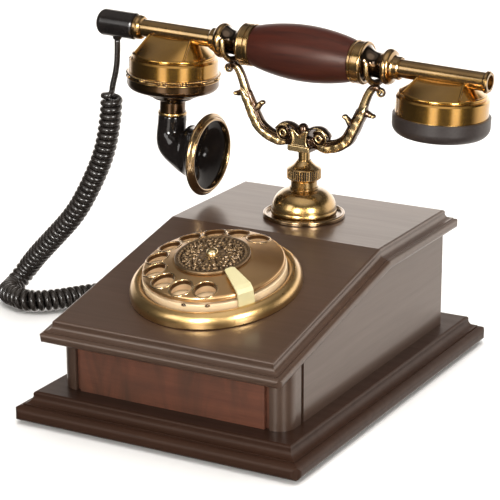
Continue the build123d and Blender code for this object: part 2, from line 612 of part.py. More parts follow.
hs("tie_rod", turned_x([(0, -74), (ROD_R, -74), (ROD_R, 74), (0, 74)]))
hs("handset_grip", turned_x([
    (RB, -33.5), (11.9, -33.5), (12.5, -32.9), (17.0, 0, 12.5, 32.9), (11.9, 33.5), (RB, 33.5),
]))
pair("handset_ferrules", turned_x([
    (RB, 33.5), (12.4, 33.5), (12.95, 34.0), (12.95, 35.2), (12.3, 35.6), (12.3, 36.3), (12.95, 36.8),
    (12.95, 40.2), (12.7, 41.6, 11.9, 42.0), (RB, 42.0),
]))
pair("handset_necks", turned_x([(RB, 42.0), (11.0, 42.0), (7.72, 47.4, 9.7, 54.0), (RB, 54.0)]))
pair("handset_flanges", turned_x([
    (RB, 54.0), (9.9, 54.0), (10.6, 54.9), (10.75, 56.8, 9.6, 58.8), (7.6, 59.6), (7.0, 60.4), (7.0, 63.2), (6.4, 64.0), (RB, 64.0),
]))
hs("right_tube", turned_x([
    (RB, 64.0), (TUBE_R, 64.0), (TUBE_R, 116.8), (6.2, 117.2), (6.5, 117.9), (6.5, 119.2), (5.8, 120.0), (4.3, 120.0), (4.3, 117.0), (0, 117.0), (0, 115.0), (4.3, 115.0), (4.3, 74.2), (RB, 74.2),
]))
hs("left_tube", turned_x([
    (RB, -64.0), (TUBE_R, -64.0), (TUBE_R, -113.2), (6.5, -113.7), (7.4, -114.8), (7.7, -116.2), (7.7, -117.8), (7.2, -119.0), (4.0, -119.0),
    (4.0, -127.0), (2.6, -127.0), (2.6, -74.2), (RB, -74.2),
]))
cap = turned_x([
    (4.03, -119.0), (7.6, -119.0), (8.3, -119.8), (8.3, -140.9), (7.4, -144.2, 3.8, -145.5), (0, -145.6), (0, -127.2), (4.03, -127.2),
])
cap -= Pos(EXIT_X, 0, -7.0) * Cylinder(3.23, 3.4)
hs("end_cap", cap)
hs("cord_bush", Pos(EXIT_X, 0, 0) * turned([(0, -9.8), (2.6, -9.8), (3.2, -7.6), (3.2, -5.3), (0, -5.3)]))


def saddle_loft(z_top, z_bot, r_bot, xc):
    """Four-sided block under the tube, spreading to a circle."""
    hx, hy = 14.6, 5.5
    top = Pos(xc, 0, z_top) * Rectangle(2 * hx, 2 * hy)
    k = r_bot * math.sqrt(0.5)
    arcs = [
        ThreePointArc((k, k), (0, r_bot), (-k, k)), ThreePointArc((-k, k), (-r_bot, 0), (-k, -k)),
        ThreePointArc((-k, -k), (0, -r_bot), (k, -k)), ThreePointArc((k, -k), (r_bot, 0), (k, k)),
    ]
    bot = Pos(xc, 0, z_bot) * make_face(arcs)
    body = loft([bot.face(), top.face()])
    for sx in (-1, 1):
        for sy in (-1, 1):
            a, b = Vector(xc + sx * hx, sy * hy, z_top), Vector(xc + sx * k, sy * k, z_bot)
            body += Plane(origin=a, z_dir=b - a) * cyl(0.85, 0.0, (b - a).length)
    return body


tube_cut = Rot(0, 90, 0) * Cylinder(TUBE_R + 0.04, 400)

tx = saddle_loft(-2.6, -12.4, 25.0, 0) - tube_cut - block(-40, 40, -40, 40, -20, -12.4)
tx += turned([
    (0, -12.4), (25.0, -12.4), (25.9, -12.8, 26.2, -13.6), (25.8, -14.2), (25.8, -14.8), (26.9, -15.1), (27.9, -16.2),
    (27.9, -24.6), (25.4, -24.6), (25.4, -15.6), (0, -15.6),
])
hs("transmitter_cup", Pos(-CUP_X, 0, 0) * tx)
hs("transmitter_band", Pos(-CUP_X, 0, 0) * turned([
    (25.4, -24.6), (28.3, -24.6), (29.9, -25.0), (29.9, -27.6), (28.8, -28.2), (25.4, -28.2),
]))
hs("transmitter_base", Pos(-CUP_X, 0, 0) * turned([
    (26.6, -28.2), (28.8, -28.2), (28.9, -31.2), (27.8, -34.2, 24.3, -35.4), (19.0, -36.4), (18.6, -37.9), (17.6, -38.6), (13.9, -39.2),
    (13.4, -40.6), (12.6, -41.3), (9.4, -41.8), (8.3, -43.0, 8.1, -44.6), (8.1, -50.0), (8.8, -50.5), (8.8, -51.9), (8.4, -52.4), (5.0, -52.4),
    (5.0, -35.6), (22.5, -33.4), (26.3, -31.0),
]))
hs("transmitter_capsule", Pos(-CUP_X, 0, 0) * turned([(0, -27.4), (24.0, -27.4), (25.2, -26.6), (25.2, -17.0), (0, -17.0)]))
# horn: elbow that swells as it turns, then a bell whose mouth faces the middle
EL_B = 12.5
MOUTH_X = -64.8
hx0 = -CUP_X
bell_x = hx0 + EL_B


def hoop(dx, z, turn, r):
    a = math.radians(turn)
    return (Plane(origin=(hx0 + dx, 0, z), x_dir=(0, 1, 0), z_dir=(math.sin(a), 0, -math.cos(a))) * Circle(r)).face()


elbow = loft([
    hoop(0, -52.4, 0, 8.8), hoop(-0.1, -57.0, 0, 9.0), hoop(-0.4, -60.9, 3, 9.1), hoop(-0.25, -65.2, 23.4, 10.1), hoop(2.2, -69.65, 48, 11.6),
    hoop(7.4, -72.5, 71, 12.9), hoop(13.0, HORN_Z, 90, 15.2),
])
bell = turned_x([
    (0, hx0 + 13.0), (15.2, hx0 + 13.0), (15.2, hx0 + 14.0), (16.0, hx0 + 14.4), (16.7, -74.0, 18.4, -71.2), (20.8, -68.2, 24.4, -66.0),
    (24.4, MOUTH_X), (0, MOUTH_X),
])
horn = elbow + Pos(0, 0, HORN_Z) * bell
flare = turned_x([
    (0, bell_x + 0.4), (6.4, bell_x + 0.4), (7.9, -73.6, 11.8, -69.6), (16.8, -66.6, 21.4, MOUTH_X), (21.4, MOUTH_X + 0.4), (0, MOUTH_X + 0.4),
])
horn -= Pos(0, 0, HORN_Z) * flare
arc = ThreePointArc(
    (hx0, 0, HORN_Z + EL_B),
    (hx0 + EL_B * (1 - math.cos(math.pi / 4)), 0, HORN_Z + EL_B * (1 - math.sin(math.pi / 4))),
    (hx0 + EL_B, 0, HORN_Z),
)
bore = sweep(Plane(origin=(hx0, 0, -51.4), z_dir=(0, 0, -1)) * Circle(6.2), path=Wire([
    *Polyline((hx0, 0, -51.4), (hx0, 0, HORN_Z + EL_B)).edges(), *arc.edges(),
    *Polyline((bell_x, 0, HORN_Z), (bell_x + 1.0, 0, HORN_Z)).edges()]))
horn -= bore
hs("mouthpiece_horn", horn)
hs("horn_rim", Pos(0, 0, HORN_Z) * turned_x([
    (24.42, -66.2), (25.3, -66.2), (26.1, -65.1, 25.6, -63.8), (24.3, -62.7), (23.9, -62.9), (23.5, -62.5), (22.6, -61.4, 21.6, -61.9),
    (21.45, -62.6), (21.45, MOUTH_X), (24.42, MOUTH_X),
]))

rx = saddle_loft(-2.6, -9.4, 24.8, 0) - tube_cut - block(-40, 40, -40, 40, -20, -9.4)
rx += turned([
    (0, -9.4), (24.8, -9.4), (25.7, -9.8, 26.0, -10.5), (25.5, -11.1), (25.5, -11.6), (26.6, -11.9), (27.5, -12.9),
    (27.5, -23.0), (25.2, -23.0), (25.2, -12.6), (0, -12.6),
])
hs("receiver_cup", Pos(CUP_X, 0, 0) * rx)
ear = turned([
    (25.2, -23.0), (28.6, -23.0), (28.9, -23.4), (28.9, -28.6), (27.3, -33.3, 22.8, -35.3), (21.4, -35.3), (19.4, -34.5), (0, -33.3),
    (0, -30.7), (25.2, -30.7),
])
for k in range(7):
    ex, ey = (0, 0) if k == 0 else polar(8.5, 60 * k)
    ear -= cyl(1.6, -40, -20, ex, ey)
hs("ear_cap", Pos(CUP_X, 0, 0) * ear)
hs("receiver_capsule", Pos(CUP_X, 0, 0) * turned([(0, -29.9), (23.8, -29.9), (25.0, -29.1), (25.0, -13.8), (0, -13.8)]))

# ---------------------------------------------------------------------------
# curly cord: plain upper tail, one fat tube for the coil, plain lower tail
# ---------------------------------------------------------------------------
ex_ = tilt * Pos(EXIT_X, 0, -9.8)
exit_pt = ex_.position
FLOOR_Z = 7.6


def corner_radii(pts, label):
    radii = []
    for i in range(1, len(pts) - 1):
        a = Vector(*pts[i]) - Vector(*pts[i - 1])
        b = Vector(*pts[i + 1]) - Vector(*pts[i])
        turn = math.radians(a.get_angle(b))
        radii.append(0.45 * min(a.length, b.length) / math.tan(turn / 2))
    print(label, "radii", [round(r, 1) for r in radii])
    return radii


def tube(pts, d, label):
    p = FilletPolyline(*pts, radius=corner_radii(pts, label))
    s = sweep(Plane(origin=p @ 0, z_dir=p % 0) * Circle(d / 2), path=p)
    print(label, "length", round(p.length, 1), "volume ratio", round(s.volume / (p.length * math.pi * d * d / 4), 4))
    return s


COIL_TOP = (-138.4, CR_Y, 153.5)
UPPER = [
    (exit_pt.X, exit_pt.Y, exit_pt.Z - 0.2), (-133.5, CR_Y, 176.0), (-135.0, CR_Y, 166.0), (-137.2, CR_Y, 158.8), COIL_TOP,
]
COIL = [
    COIL_TOP, (-140.3, 54.3, 133.3), (-145.3, 54.2, 111.5), (-155.7, 54.8, 90.2), (-170.7, 56.9, 66.5), (-191.6, 59.6, 45.5),
    (-208.8, 63.9, 29.2), (-219.6, 67.1, 17.4), (-223.6, 57.5, FLOOR_Z), (-220.0, 43.3, FLOOR_Z), (-207.4, 38.0, FLOOR_Z),
    (-195.1, 34.8, FLOOR_Z), (-181.9, 45.4, FLOOR_Z), (-168.8, 66.5, FLOOR_Z), (-150.0, 86.0, FLOOR_Z), (-132.0, 107.0, FLOOR_Z),
    (-117.0, 130.0, FLOOR_Z), (-100.0, 149.0, FLOOR_Z), (-76.0, 155.0, FLOOR_Z),
]
LOWER = [
    (-76.0, 155.0, FLOOR_Z), (-65.5, 155.2, 8.5), (-57.0, 151.5, 15.0), (-51.0, 142.0, 25.5), (-47.5, 129.0, 36.5), (-46.2, 117.0, 43.0),
    (GLAND[0], GLAND_Y, GLAND[1]),
]
save("cord_upper_tail", tube(UPPER, WIRE_D, "upper tail"))
save("cord_coil", tube(COIL, COIL_D, "coil"))
save("cord_lower_tail", tube(LOWER, WIRE_D, "lower tail"))

print(len(SAVED), "nodes")
print("dial centre", dial_c, "normal", n_vec)
print("governor centre", (dial * Pos(gx, gy, 0)).position)
print("cord exit", exit_pt)
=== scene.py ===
import math

import bpy
import bmesh
import numpy as np
from mathutils import Matrix, Vector, kdtree


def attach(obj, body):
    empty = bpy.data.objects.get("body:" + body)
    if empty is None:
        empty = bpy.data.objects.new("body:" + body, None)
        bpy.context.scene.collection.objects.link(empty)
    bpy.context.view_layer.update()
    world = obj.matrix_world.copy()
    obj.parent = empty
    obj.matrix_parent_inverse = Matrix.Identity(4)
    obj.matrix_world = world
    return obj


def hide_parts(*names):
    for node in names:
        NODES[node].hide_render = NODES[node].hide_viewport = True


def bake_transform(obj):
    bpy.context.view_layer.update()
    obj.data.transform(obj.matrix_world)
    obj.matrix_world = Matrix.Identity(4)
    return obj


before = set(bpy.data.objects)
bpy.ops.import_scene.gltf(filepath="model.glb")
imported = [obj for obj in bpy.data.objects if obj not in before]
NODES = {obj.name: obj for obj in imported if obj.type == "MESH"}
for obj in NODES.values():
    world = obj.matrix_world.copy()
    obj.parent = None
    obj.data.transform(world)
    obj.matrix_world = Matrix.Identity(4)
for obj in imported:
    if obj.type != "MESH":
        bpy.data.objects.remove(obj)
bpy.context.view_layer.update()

MM = 0.001
scene = bpy.context.scene
for stray in ("Cube", "Light", "Camera"):
    if stray in bpy.data.objects and stray not in NODES:
        bpy.data.objects.remove(bpy.data.objects[stray])


def add(obj):
    scene.collection.objects.link(obj)
    return obj


# ---------------------------------------------------------------------------
# camera
# ---------------------------------------------------------------------------
AZ, EL, ROLL = (math.radians(v) for v in (29.592, 17.735, -0.30))
back = Vector((math.sin(AZ) * math.cos(EL), -math.cos(AZ) * math.cos(EL), math.sin(EL)))
right = Vector((math.cos(AZ), math.sin(AZ), 0.0))
up = back.cross(right)
cam_x = right * math.cos(ROLL) + up * math.sin(ROLL)
cam_y = up * math.cos(ROLL) - right * math.sin(ROLL)
cam = add(bpy.data.objects.new("camera", bpy.data.cameras.new("camera")))
cam.data.sensor_width = 36.0
cam.data.lens = 145.74
cam.data.shift_x, cam.data.shift_y = 0.0331, 0.0211
cam.data.clip_start, cam.data.clip_end = 0.05, 60.0
where = Vector((551.9, -1005.8, 442.8)) * MM
cam.matrix_world = Matrix((
    (cam_x.x, cam_y.x, back.x, where.x),
    (cam_x.y, cam_y.y, back.y, where.y),
    (cam_x.z, cam_y.z, back.z, where.z),
    (0, 0, 0, 1),
))
scene.camera = cam


# ---------------------------------------------------------------------------
# mesh helpers
# ---------------------------------------------------------------------------
def mesh_object(name, verts, faces, smooth=True):
    me = bpy.data.meshes.new(name)
    me.from_pydata([tuple(v) for v in verts], [], [tuple(f) for f in faces])
    me.validate()
    if smooth:
        me.polygons.foreach_set("use_smooth", [True] * len(me.polygons))
    me.update()
    return add(bpy.data.objects.new(name, me))


def unit(v):
    return v / np.linalg.norm(v, axis=-1, keepdims=True)


def frames(P):
    """Tangent and two normals along a line of points, carried along without twist."""
    P = np.asarray(P, float)
    T = unit(np.gradient(P, axis=0))
    ref = np.array([0.0, 1.0, 0.0]) if abs(T[0][1]) < 0.8 else np.array([1.0, 0.0, 0.0])
    n = unit(ref - T[0] * (ref @ T[0]))
    N = [n]
    for t in T[1:]:
        n = n - t * (n @ t)
        n = n / np.linalg.norm(n)
        N.append(n)
    N = np.array(N)
    return T, N, np.cross(T, N)


class Bag:
    """Collects closed shells that are later made one mesh."""

    def __init__(self):
        self.v, self.f = [], []

    def put(self, verts, faces):
        o = len(self.v)
        self.v += [tuple(p) for p in verts]
        self.f += [tuple(i + o for i in f) for f in faces]

    def tube(self, P, ra, rb=None, seg=14, power=2.0):
        """Swept solid with round ends. ra and rb are the half widths along the two normals."""
        P = np.asarray(P, float)
        n = len(P)
        ra = np.broadcast_to(np.asarray(ra, float), (n,)).copy()
        rb = ra if rb is None else np.broadcast_to(np.asarray(rb, float), (n,)).copy()
        T, N, B = frames(P)
        rows = []
        cap = [0.25, 0.6, 0.88]
        for k in cap:
            q = math.sqrt(max(0.0, 1 - k * k))
            rows.append((P[0] - T[0] * ra[0] * q, N[0], B[0], ra[0] * k, rb[0] * k))
        for i in range(n):
            rows.append((P[i], N[i], B[i], ra[i], rb[i]))
        for k in cap[::-1]:
            q = math.sqrt(max(0.0, 1 - k * k))
            rows.append((P[-1] + T[-1] * ra[-1] * q, N[-1], B[-1], ra[-1] * k, rb[-1] * k))
        verts, faces = [], []
        a = np.linspace(0, 2 * math.pi, seg, endpoint=False)
        c = np.sign(np.cos(a)) * np.abs(np.cos(a)) ** (2 / power)
        s = np.sign(np.sin(a)) * np.abs(np.sin(a)) ** (2 / power)
        for (p, nn, bb, x, y) in rows:
            verts += list(p + np.outer(c, nn) * x + np.outer(s, bb) * y)
        m = len(rows)
        for i in range(m - 1):
            for j in range(seg):
                k = (j + 1) % seg
                faces.append((i * seg + j, i * seg + k, (i + 1) * seg + k, (i + 1) * seg + j))
        faces.append(tuple(range(seg))[::-1])
        faces.append(tuple((m - 1) * seg + j for j in range(seg)))
        self.put(verts, faces)

    def ball(self, c, r, stretch=(1, 1, 1), seg=16, rings=10):
        verts, faces = [], []
        c = np.asarray(c, float)
        for i in range(1, rings):
            t = math.pi * i / rings
            for j in range(seg):
                a = 2 * math.pi * j / seg
                verts.append(c + r * np.array([math.sin(t) * math.cos(a), math.sin(t) * math.sin(a), math.cos(t)]) * stretch)
        top, bot = len(verts), len(verts) + 1
        verts += [c + r * np.array([0, 0, 1]) * stretch, c - r * np.array([0, 0, 1]) * stretch]
        for i in range(rings - 2):
            for j in range(seg):
                k = (j + 1) % seg
                faces.append((i * seg + j, (i + 1) * seg + j, (i + 1) * seg + k, i * seg + k))
        for j in range(seg):
            k = (j + 1) % seg
            faces.append((top, j, k))
            faces.append((bot, (rings - 2) * seg + k, (rings - 2) * seg + j))
        self.put(verts, faces)

    def prism(self, outline, y0, y1, place):
        """Outline of (x, z) points made thick from y0 to y1; place maps (x, y, z) to the row frame."""
        n = len(outline)
        verts = [place(x, y0, z) for x, z in outline] + [place(x, y1, z) for x, z in outline]
        faces = [tuple(range(n)), tuple(range(2 * n - 1, n - 1, -1))]
        for i in range(n):
            j = (i + 1) % n
            faces.append((i, i + n, j + n, j))
        self.put(verts, faces)

    def mesh(self, name):
        me = bpy.data.meshes.new(name)
        me.from_pydata(self.v, [], self.f)
        bm = bmesh.new()
        bm.from_mesh(me)
        bmesh.ops.recalc_face_normals(bm, faces=bm.faces)
        bm.to_mesh(me)
        bm.free()
        return me

    def cast(self, name, voxel, smooth=4):
        """One continuous casting from all the shells."""
        raw = add(bpy.data.objects.new(name + "_raw", self.mesh(name + "_raw")))
        r = raw.modifiers.new("grow", "REMESH")
        r.mode = "VOXEL"
        r.voxel_size = voxel
        r.use_smooth_shade = True
        if smooth:
            s = raw.modifiers.new("soft", "SMOOTH")
            s.factor, s.iterations = 0.5, smooth
        bpy.context.view_layer.update()
        me = bpy.data.meshes.new_from_object(raw.evaluated_get(bpy.context.evaluated_depsgraph_get()))
        bpy.data.objects.remove(raw)
        me.name = name
        me.polygons.foreach_set("use_smooth", [True] * len(me.polygons))
        return add(bpy.data.objects.new(name, me))


def smooth_line(pts, n):
    """Soft curve through a few points."""
    P = np.asarray(pts, float)
    P = np.vstack([2 * P[0] - P[1], P, 2 * P[-1] - P[-2]])
    out = []
    m = len(P) - 3
    for t in np.linspace(0, m - 1e-9, n):
        i = int(t)
        u = t - i
        a, b, c, d = P[i:i + 4]
        out.append(0.5 * (2 * b + (c - a) * u + (2 * a - 5 * b + 4 * c - d) * u ** 2 + (3 * b - a - 3 * c + d) * u ** 3))
    return np.array(out)


# ---------------------------------------------------------------------------
# curly cord: one wire, plain at both ends, wound between them
# ---------------------------------------------------------------------------
UPPER = [(-133.401, 54, 187.015), (-133.5, 54, 176), (-135, 54, 166), (-137.2, 54, 158.8), (-138.4, 54, 153.5)]
COIL = [
    (-138.4, 54, 153.5), (-140.3, 54.3, 133.3), (-145.3, 54.2, 111.5), (-155.7, 54.8, 90.2), (-170.7, 56.9, 66.5),
    (-191.6, 59.6, 45.5), (-208.8, 63.9, 29.2), (-219.6, 67.1, 17.4), (-223.6, 57.5, 7.6), (-220.0, 43.3, 7.6), (-207.4, 38, 7.6),
    (-195.1, 34.8, 7.6), (-181.9, 45.4, 7.6), (-168.8, 66.5, 7.6), (-150, 86, 7.6), (-132, 107, 7.6), (-117, 130, 7.6), (-100, 149, 7.6),
    (-76, 155, 7.6),
]
LOWER = [(-76, 155, 7.6), (-65.5, 155.2, 8.5), (-57, 151.5, 15), (-51, 142, 25.5), (-47.5, 129, 36.5), (-46.2, 117, 43), (-46, 106, 44)]
WIRE_D, WIND_R, PITCH = 3.9 * MM, 5.13 * MM, 4.45 * MM
SWELL = 0.42 * MM    # the wound wire is pressed a little fuller than the plain ends


def route(points):
    cu = bpy.data.curves.new("route", "CURVE")
    cu.dimensions = "3D"
    cu.resolution_u = 24
    sp = cu.splines.new("NURBS")
    sp.points.add(len(points) - 1)
    for p, c in zip(sp.points, points):
        p.co = (c[0] * MM, c[1] * MM, c[2] * MM, 1.0)
    sp.order_u = 3
    sp.use_endpoint_u = True
    ob = add(bpy.data.objects.new("route", cu))
    bpy.context.view_layer.update()
    me = bpy.data.meshes.new_from_object(ob.evaluated_get(bpy.context.evaluated_depsgraph_get()))
    P = np.array([v.co[:] for v in me.vertices])
    bpy.data.objects.remove(ob)
    bpy.data.meshes.remove(me)
    return P


def wound_wire():
    P = route(UPPER + COIL[1:] + LOWER[1:])
    S = np.concatenate([[0], np.cumsum(np.linalg.norm(np.diff(P, axis=0), axis=1))])
    T, N, B = frames(P)

    def station(p):
        return S[np.argmin(np.linalg.norm(P - np.array(p) * MM, axis=1))]

    s0, s1 = station(COIL[0]), station(COIL[-1])
    ease = lambda t: np.clip(t, 0, 1) ** 2 * (3 - 2 * np.clip(t, 0, 1))
    fine = np.linspace(s0, s1, 4000)
    # the first and last turns are drawn out, so that the wire goes into the coil without a kink
    rate = ease(np.minimum(fine - s0, s1 - fine) / 0.006) / PITCH
    count = np.concatenate([[0], np.cumsum((rate[1:] + rate[:-1]) / 2 * np.diff(fine))])
    turns = round(count[-1])
    count = count * (turns / count[-1]) + np.arange(4000) * 1e-9
    plain = np.concatenate([np.arange(0, s0, 0.0015), [s0]])
    tail = np.concatenate([np.arange(s1, S[-1], 0.0015)[1:], [S[-1]]])
    wound = np.interp(np.linspace(0, turns, turns * 26 + 1)[1:], count, fine)
    st = np.concatenate([plain, wound, tail])

    def at(A):
        return np.stack([np.interp(st, S, A[:, k]) for k in range(3)], 1)

    amp = WIND_R * ease((st - s0) / 0.004) * ease((s1 - st) / 0.004)
    phi = 2 * math.pi * np.interp(st, fine, count) + 2.6
    c, n, b = at(P), unit(at(N)), unit(at(B))
    return c + (n * np.cos(phi)[:, None] + b * np.sin(phi)[:, None]) * amp[:, None], (WIRE_D + SWELL * amp / WIND_R) / 2


wire, wire_r = wound_wire()
Tw, Nw, Bw = frames(wire)
RING = 10
ang = np.linspace(0, 2 * math.pi, RING, endpoint=False)
cv = (wire[:, None, :] + (np.cos(ang)[None, :, None] * Nw[:, None, :] + np.sin(ang)[None, :, None] * Bw[:, None, :]) * wire_r[:, None, None]).reshape(-1, 3)
cf = [
    (i * RING + j, i * RING + (j + 1) % RING, (i + 1) * RING + (j + 1) % RING, (i + 1) * RING + j)
    for i in range(len(wire) - 1) for j in range(RING)
]
cf += [tuple(range(RING))[::-1], tuple((len(wire) - 1) * RING + j for j in range(RING))]
cord = mesh_object("curly_cord", cv, cf)
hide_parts("cord_upper_tail", "cord_coil", "cord_lower_tail")
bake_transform(cord)


# ---------------------------------------------------------------------------
# cradle fork: one ornamental casting, in the handset's tilted frame
# ---------------------------------------------------------------------------
TILT = math.radians(2.5)
HS = (0.0, 54.0, 191.2)


def hand(x, y, z):
    """Handset-frame point (mm) in the row frame (m)."""
    return np.array([
        x * math.cos(TILT) + z * math.sin(TILT), HS[1] + y, HS[2] - x * math.sin(TILT) + z * math.cos(TILT)
    ]) * MM


def fork(x, y, z):
    """Fork outline point: x and z as drawn upright, eased back over the stem."""
    return hand(x + 1.9 * max(0.0, 1.0 - (z - 132.0) / 44.0), y, z - HS[2])


def along(pts, n, y=0.0):
    return [(p[0], y, p[1]) for p in smooth_line(pts, n)]


def beside(pts, d):
    """The same drawn line moved d millimetres to its inner side."""
    P = np.asarray(pts, float)
    T = unit(np.gradient(P, axis=0))
    return [(x - t[1] * d, z + t[0] * d) for (x, z), t in zip(P, T)]


fb = Bag()
ARM = [(3.0, 138.4), (10.5, 135.9), (17.0, 136.0), (24.0, 138.6), (29.3, 142.4), (32.5, 147.6), (35.5, 153.8), (38.8, 160.8), (41.3, 167.2),
       (43.6, 172.8), (46.2, 176.4), (49.2, 177.1)]
EYE = (12.2, 141.1)
for s in (-1, 1):
    F = lambda pts: np.array([fork(s * x, y, z) for x, y, z in pts])
    # stalk that runs the whole arm and shows above the leaf sheath
    n = 80
    mid = smooth_line(ARM, n)
    t = np.linspace(0, 1, n)
    fb.tube(F([(x, 0, z) for x, z in mid]), np.interp(t, [0, 0.5, 0.72, 0.9, 1], [2.9, 2.8, 2.7, 2.4, 2.0]) * MM,
            np.interp(t, [0, 0.5, 0.72, 0.9, 1], [2.8, 2.8, 2.75, 2.5, 1.7]) * MM, 22, 2.6)
    # leaf sheath on the outer side, ending in a point beside the outer bud
    sheath = [(11.0, 135.2), (17.2, 134.9), (24.6, 137.5), (30.2, 141.4), (33.6, 146.9), (36.6, 153.2), (40.0, 159.6), (42.3, 164.4)]
    m = 60
    t = np.linspace(0, 1, m)
    scallop = 1 + 0.10 * np.abs(np.sin((t * 5.0 + 0.15) * math.pi)) - 0.05
    fb.tube(F(along(sheath, m)), np.interp(t, [0, 0.12, 0.6, 0.8, 0.93, 1], [2.9, 3.9, 4.0, 3.8, 3.4, 2.9]) * (1 + 0.07 * np.sin(t * 39) * np.sin(t * 17 + 1)) * MM,
            np.interp(t, [0, 0.12, 0.6, 0.8, 0.93, 1], [2.0, 2.7, 3.0, 2.8, 1.7, 0.5]) * scallop * MM, 26, 3.2)
    # a second leaf point on the inner side of the stalk
    point = [(31.0, 143.2), (33.6, 148.0), (35.6, 152.6), (36.6, 156.6)]
    fb.tube(F(along(point, 24)), np.linspace(3.7, 3.2, 24) * MM, np.interp(np.linspace(0, 1, 24), [0, 0.5, 1], [1.6, 1.5, 0.35]) * MM, 16, 3.0)
    # strand laid on the inner side, with a sunk line between it and the sheath
    vine = beside(smooth_line(ARM[2:8], 40), 2.7)
    fb.tube(F([(x, 0, z) for x, z in vine]), np.interp(np.linspace(0, 1, 40), [0, 0.5, 1], [2.7, 2.6, 1.4]) * MM, np.linspace(1.25, 0.8, 40) * MM, 14)
    # scroll beside the boss: a flat roll with a wound edge and a ring round a sunk eye
    q = np.linspace(0, 2 * math.pi, 40, endpoint=False)
    fb.prism([(EYE[0] + 4.5 * math.cos(k), EYE[1] + 4.5 * math.sin(k)) for k in q], -2.3, 2.3, lambda x, y, z: fork(s * x, y, z))
    q = np.linspace(0, 2 * math.pi * 0.86, 44)
    for side in (-1, 1):
        edge = [(EYE[0] + 4.5 * math.cos(2.5 - k), side * 2.6, EYE[1] + 4.5 * math.sin(2.5 - k)) for k in q]
        fb.tube(F(edge), 0.95 * MM, 0.70 * MM, 12)
        eye = [(EYE[0] + 1.95 * math.cos(k), side * 3.3, EYE[1] + 1.95 * math.sin(k)) for k in np.linspace(0, 2 * math.pi, 33)]
        fb.tube(F(eye), 1.35 * MM, 0.80 * MM, 12, 3.0)
    # shoulder from the boss over the roll
    fb.tube(F(along([(3.2, 144.0), (6.4, 146.0), (10.0, 146.9), (13.6, 146.3), (16.4, 144.1)], 24)), 3.4 * MM, 1.05 * MM, 14)
    # buds: short bent stubs with a flared tip
    for pts, r0, r1, tip in (
        ([(33.6, 151.2), (31.8, 152.9), (30.2, 154.9), (28.2, 156.6)], 2.7, 1.6, 2.0),
        ([(40.6, 160.9), (43.2, 160.6), (45.0, 160.0), (46.7, 159.7)], 2.5, 1.5, 1.85),
    ):
        fb.tube(F(along(pts, 16)), np.linspace(r0 + 0.3, r1, 16) * MM, np.linspace(r0, r1, 16) * MM, 12)
        e = pts[-1]
        fb.ball(fork(s * e[0], 0, e[1]), tip * MM, (1.0, 1.2, 0.78))
    # end curl outside the saddle, wound round a dot
    q = np.linspace(0, 2 * math.pi * 1.2, 40)
    ends = [(51.5 + r * math.cos(2.3 - k), 0, 174.7 + r * math.sin(2.3 - k)) for k, r in zip(q, np.linspace(2.6, 1.5, 40))]
    fb.tube(F(ends), 1.9 * MM, 0.72 * MM, 12)
    fb.tube(F([(51.5, y, 174.7) for y in (-1.7, 0, 1.7)]), 0.75 * MM, None, 12)
    # saddle: half a ring under the neck, set a little askew, two flat prongs
    half = np.linspace(-math.pi, 0, 40)
    ring = [hand(s * 48.5 + 2.4 * math.cos(k), 10.75 * math.cos(k), 10.75 * math.sin(k)) for k in half]
    tips = [hand(s * 48.5 - 2.7, -10.75, 2.6), hand(s * 48.5 - 2.55, -10.8, 1.2)] + ring + [hand(s * 48.5 + 2.55, 10.8, 1.2), hand(s * 48.5 + 2.7, 10.75, 2.6)]
    fb.tube(tips, np.interp(np.linspace(0, 1, len(tips)), [0, 0.25, 0.5, 0.75, 1], [1.35, 1.7, 2.4, 1.7, 1.35]) * MM, None, 16)

# boss over the stem: foot, notched plate with a raised edge, button behind the notch
P3 = lambda x, y, z: fork(x, y, z)
fb.prism([(-6.9, 131.5), (6.9, 131.5), (7.4, 132.2), (7.4, 134.4), (6.9, 135.1), (-6.9, 135.1), (-7.4, 134.4), (-7.4, 132.2)], -7.0, 7.0, P3)
fb.prism([(-5.7, 134.8), (5.7, 134.8), (4.9, 137.8), (5.1, 141.0), (6.2, 144.9), (3.4, 144.4), (0.0, 141.3), (-3.4, 144.4), (-6.2, 144.9),
          (-5.1, 141.0), (-4.9, 137.8)], -5.6, 5.6, P3)
for side in (-1, 1):
    for w in (-1, 1):
        fb.tube([fork(w * x, side * y, z) for x, y, z in along([(5.0, 135.6), (4.3, 138.2), (4.6, 141.2), (5.4, 144.4)], 16, 5.5)], 0.7 * MM, 0.65 * MM, 10)
        fb.tube([fork(w * x, side * y, z) for x, y, z in along([(5.2, 144.5), (3.4, 143.9), (1.6, 142.4), (0.0, 141.0)], 16, 5.5)], 0.7 * MM, 0.6 * MM, 10)
fb.tube([fork(0, 0, z) for z in np.linspace(140.0, 144.6, 6)], 3.5 * MM, None, 20)
fb.ball(fork(0, 0, 145.6), 3.1 * MM, (1, 1, 0.85))
fork_obj = fb.cast("fork_casting", 0.00027, 2)


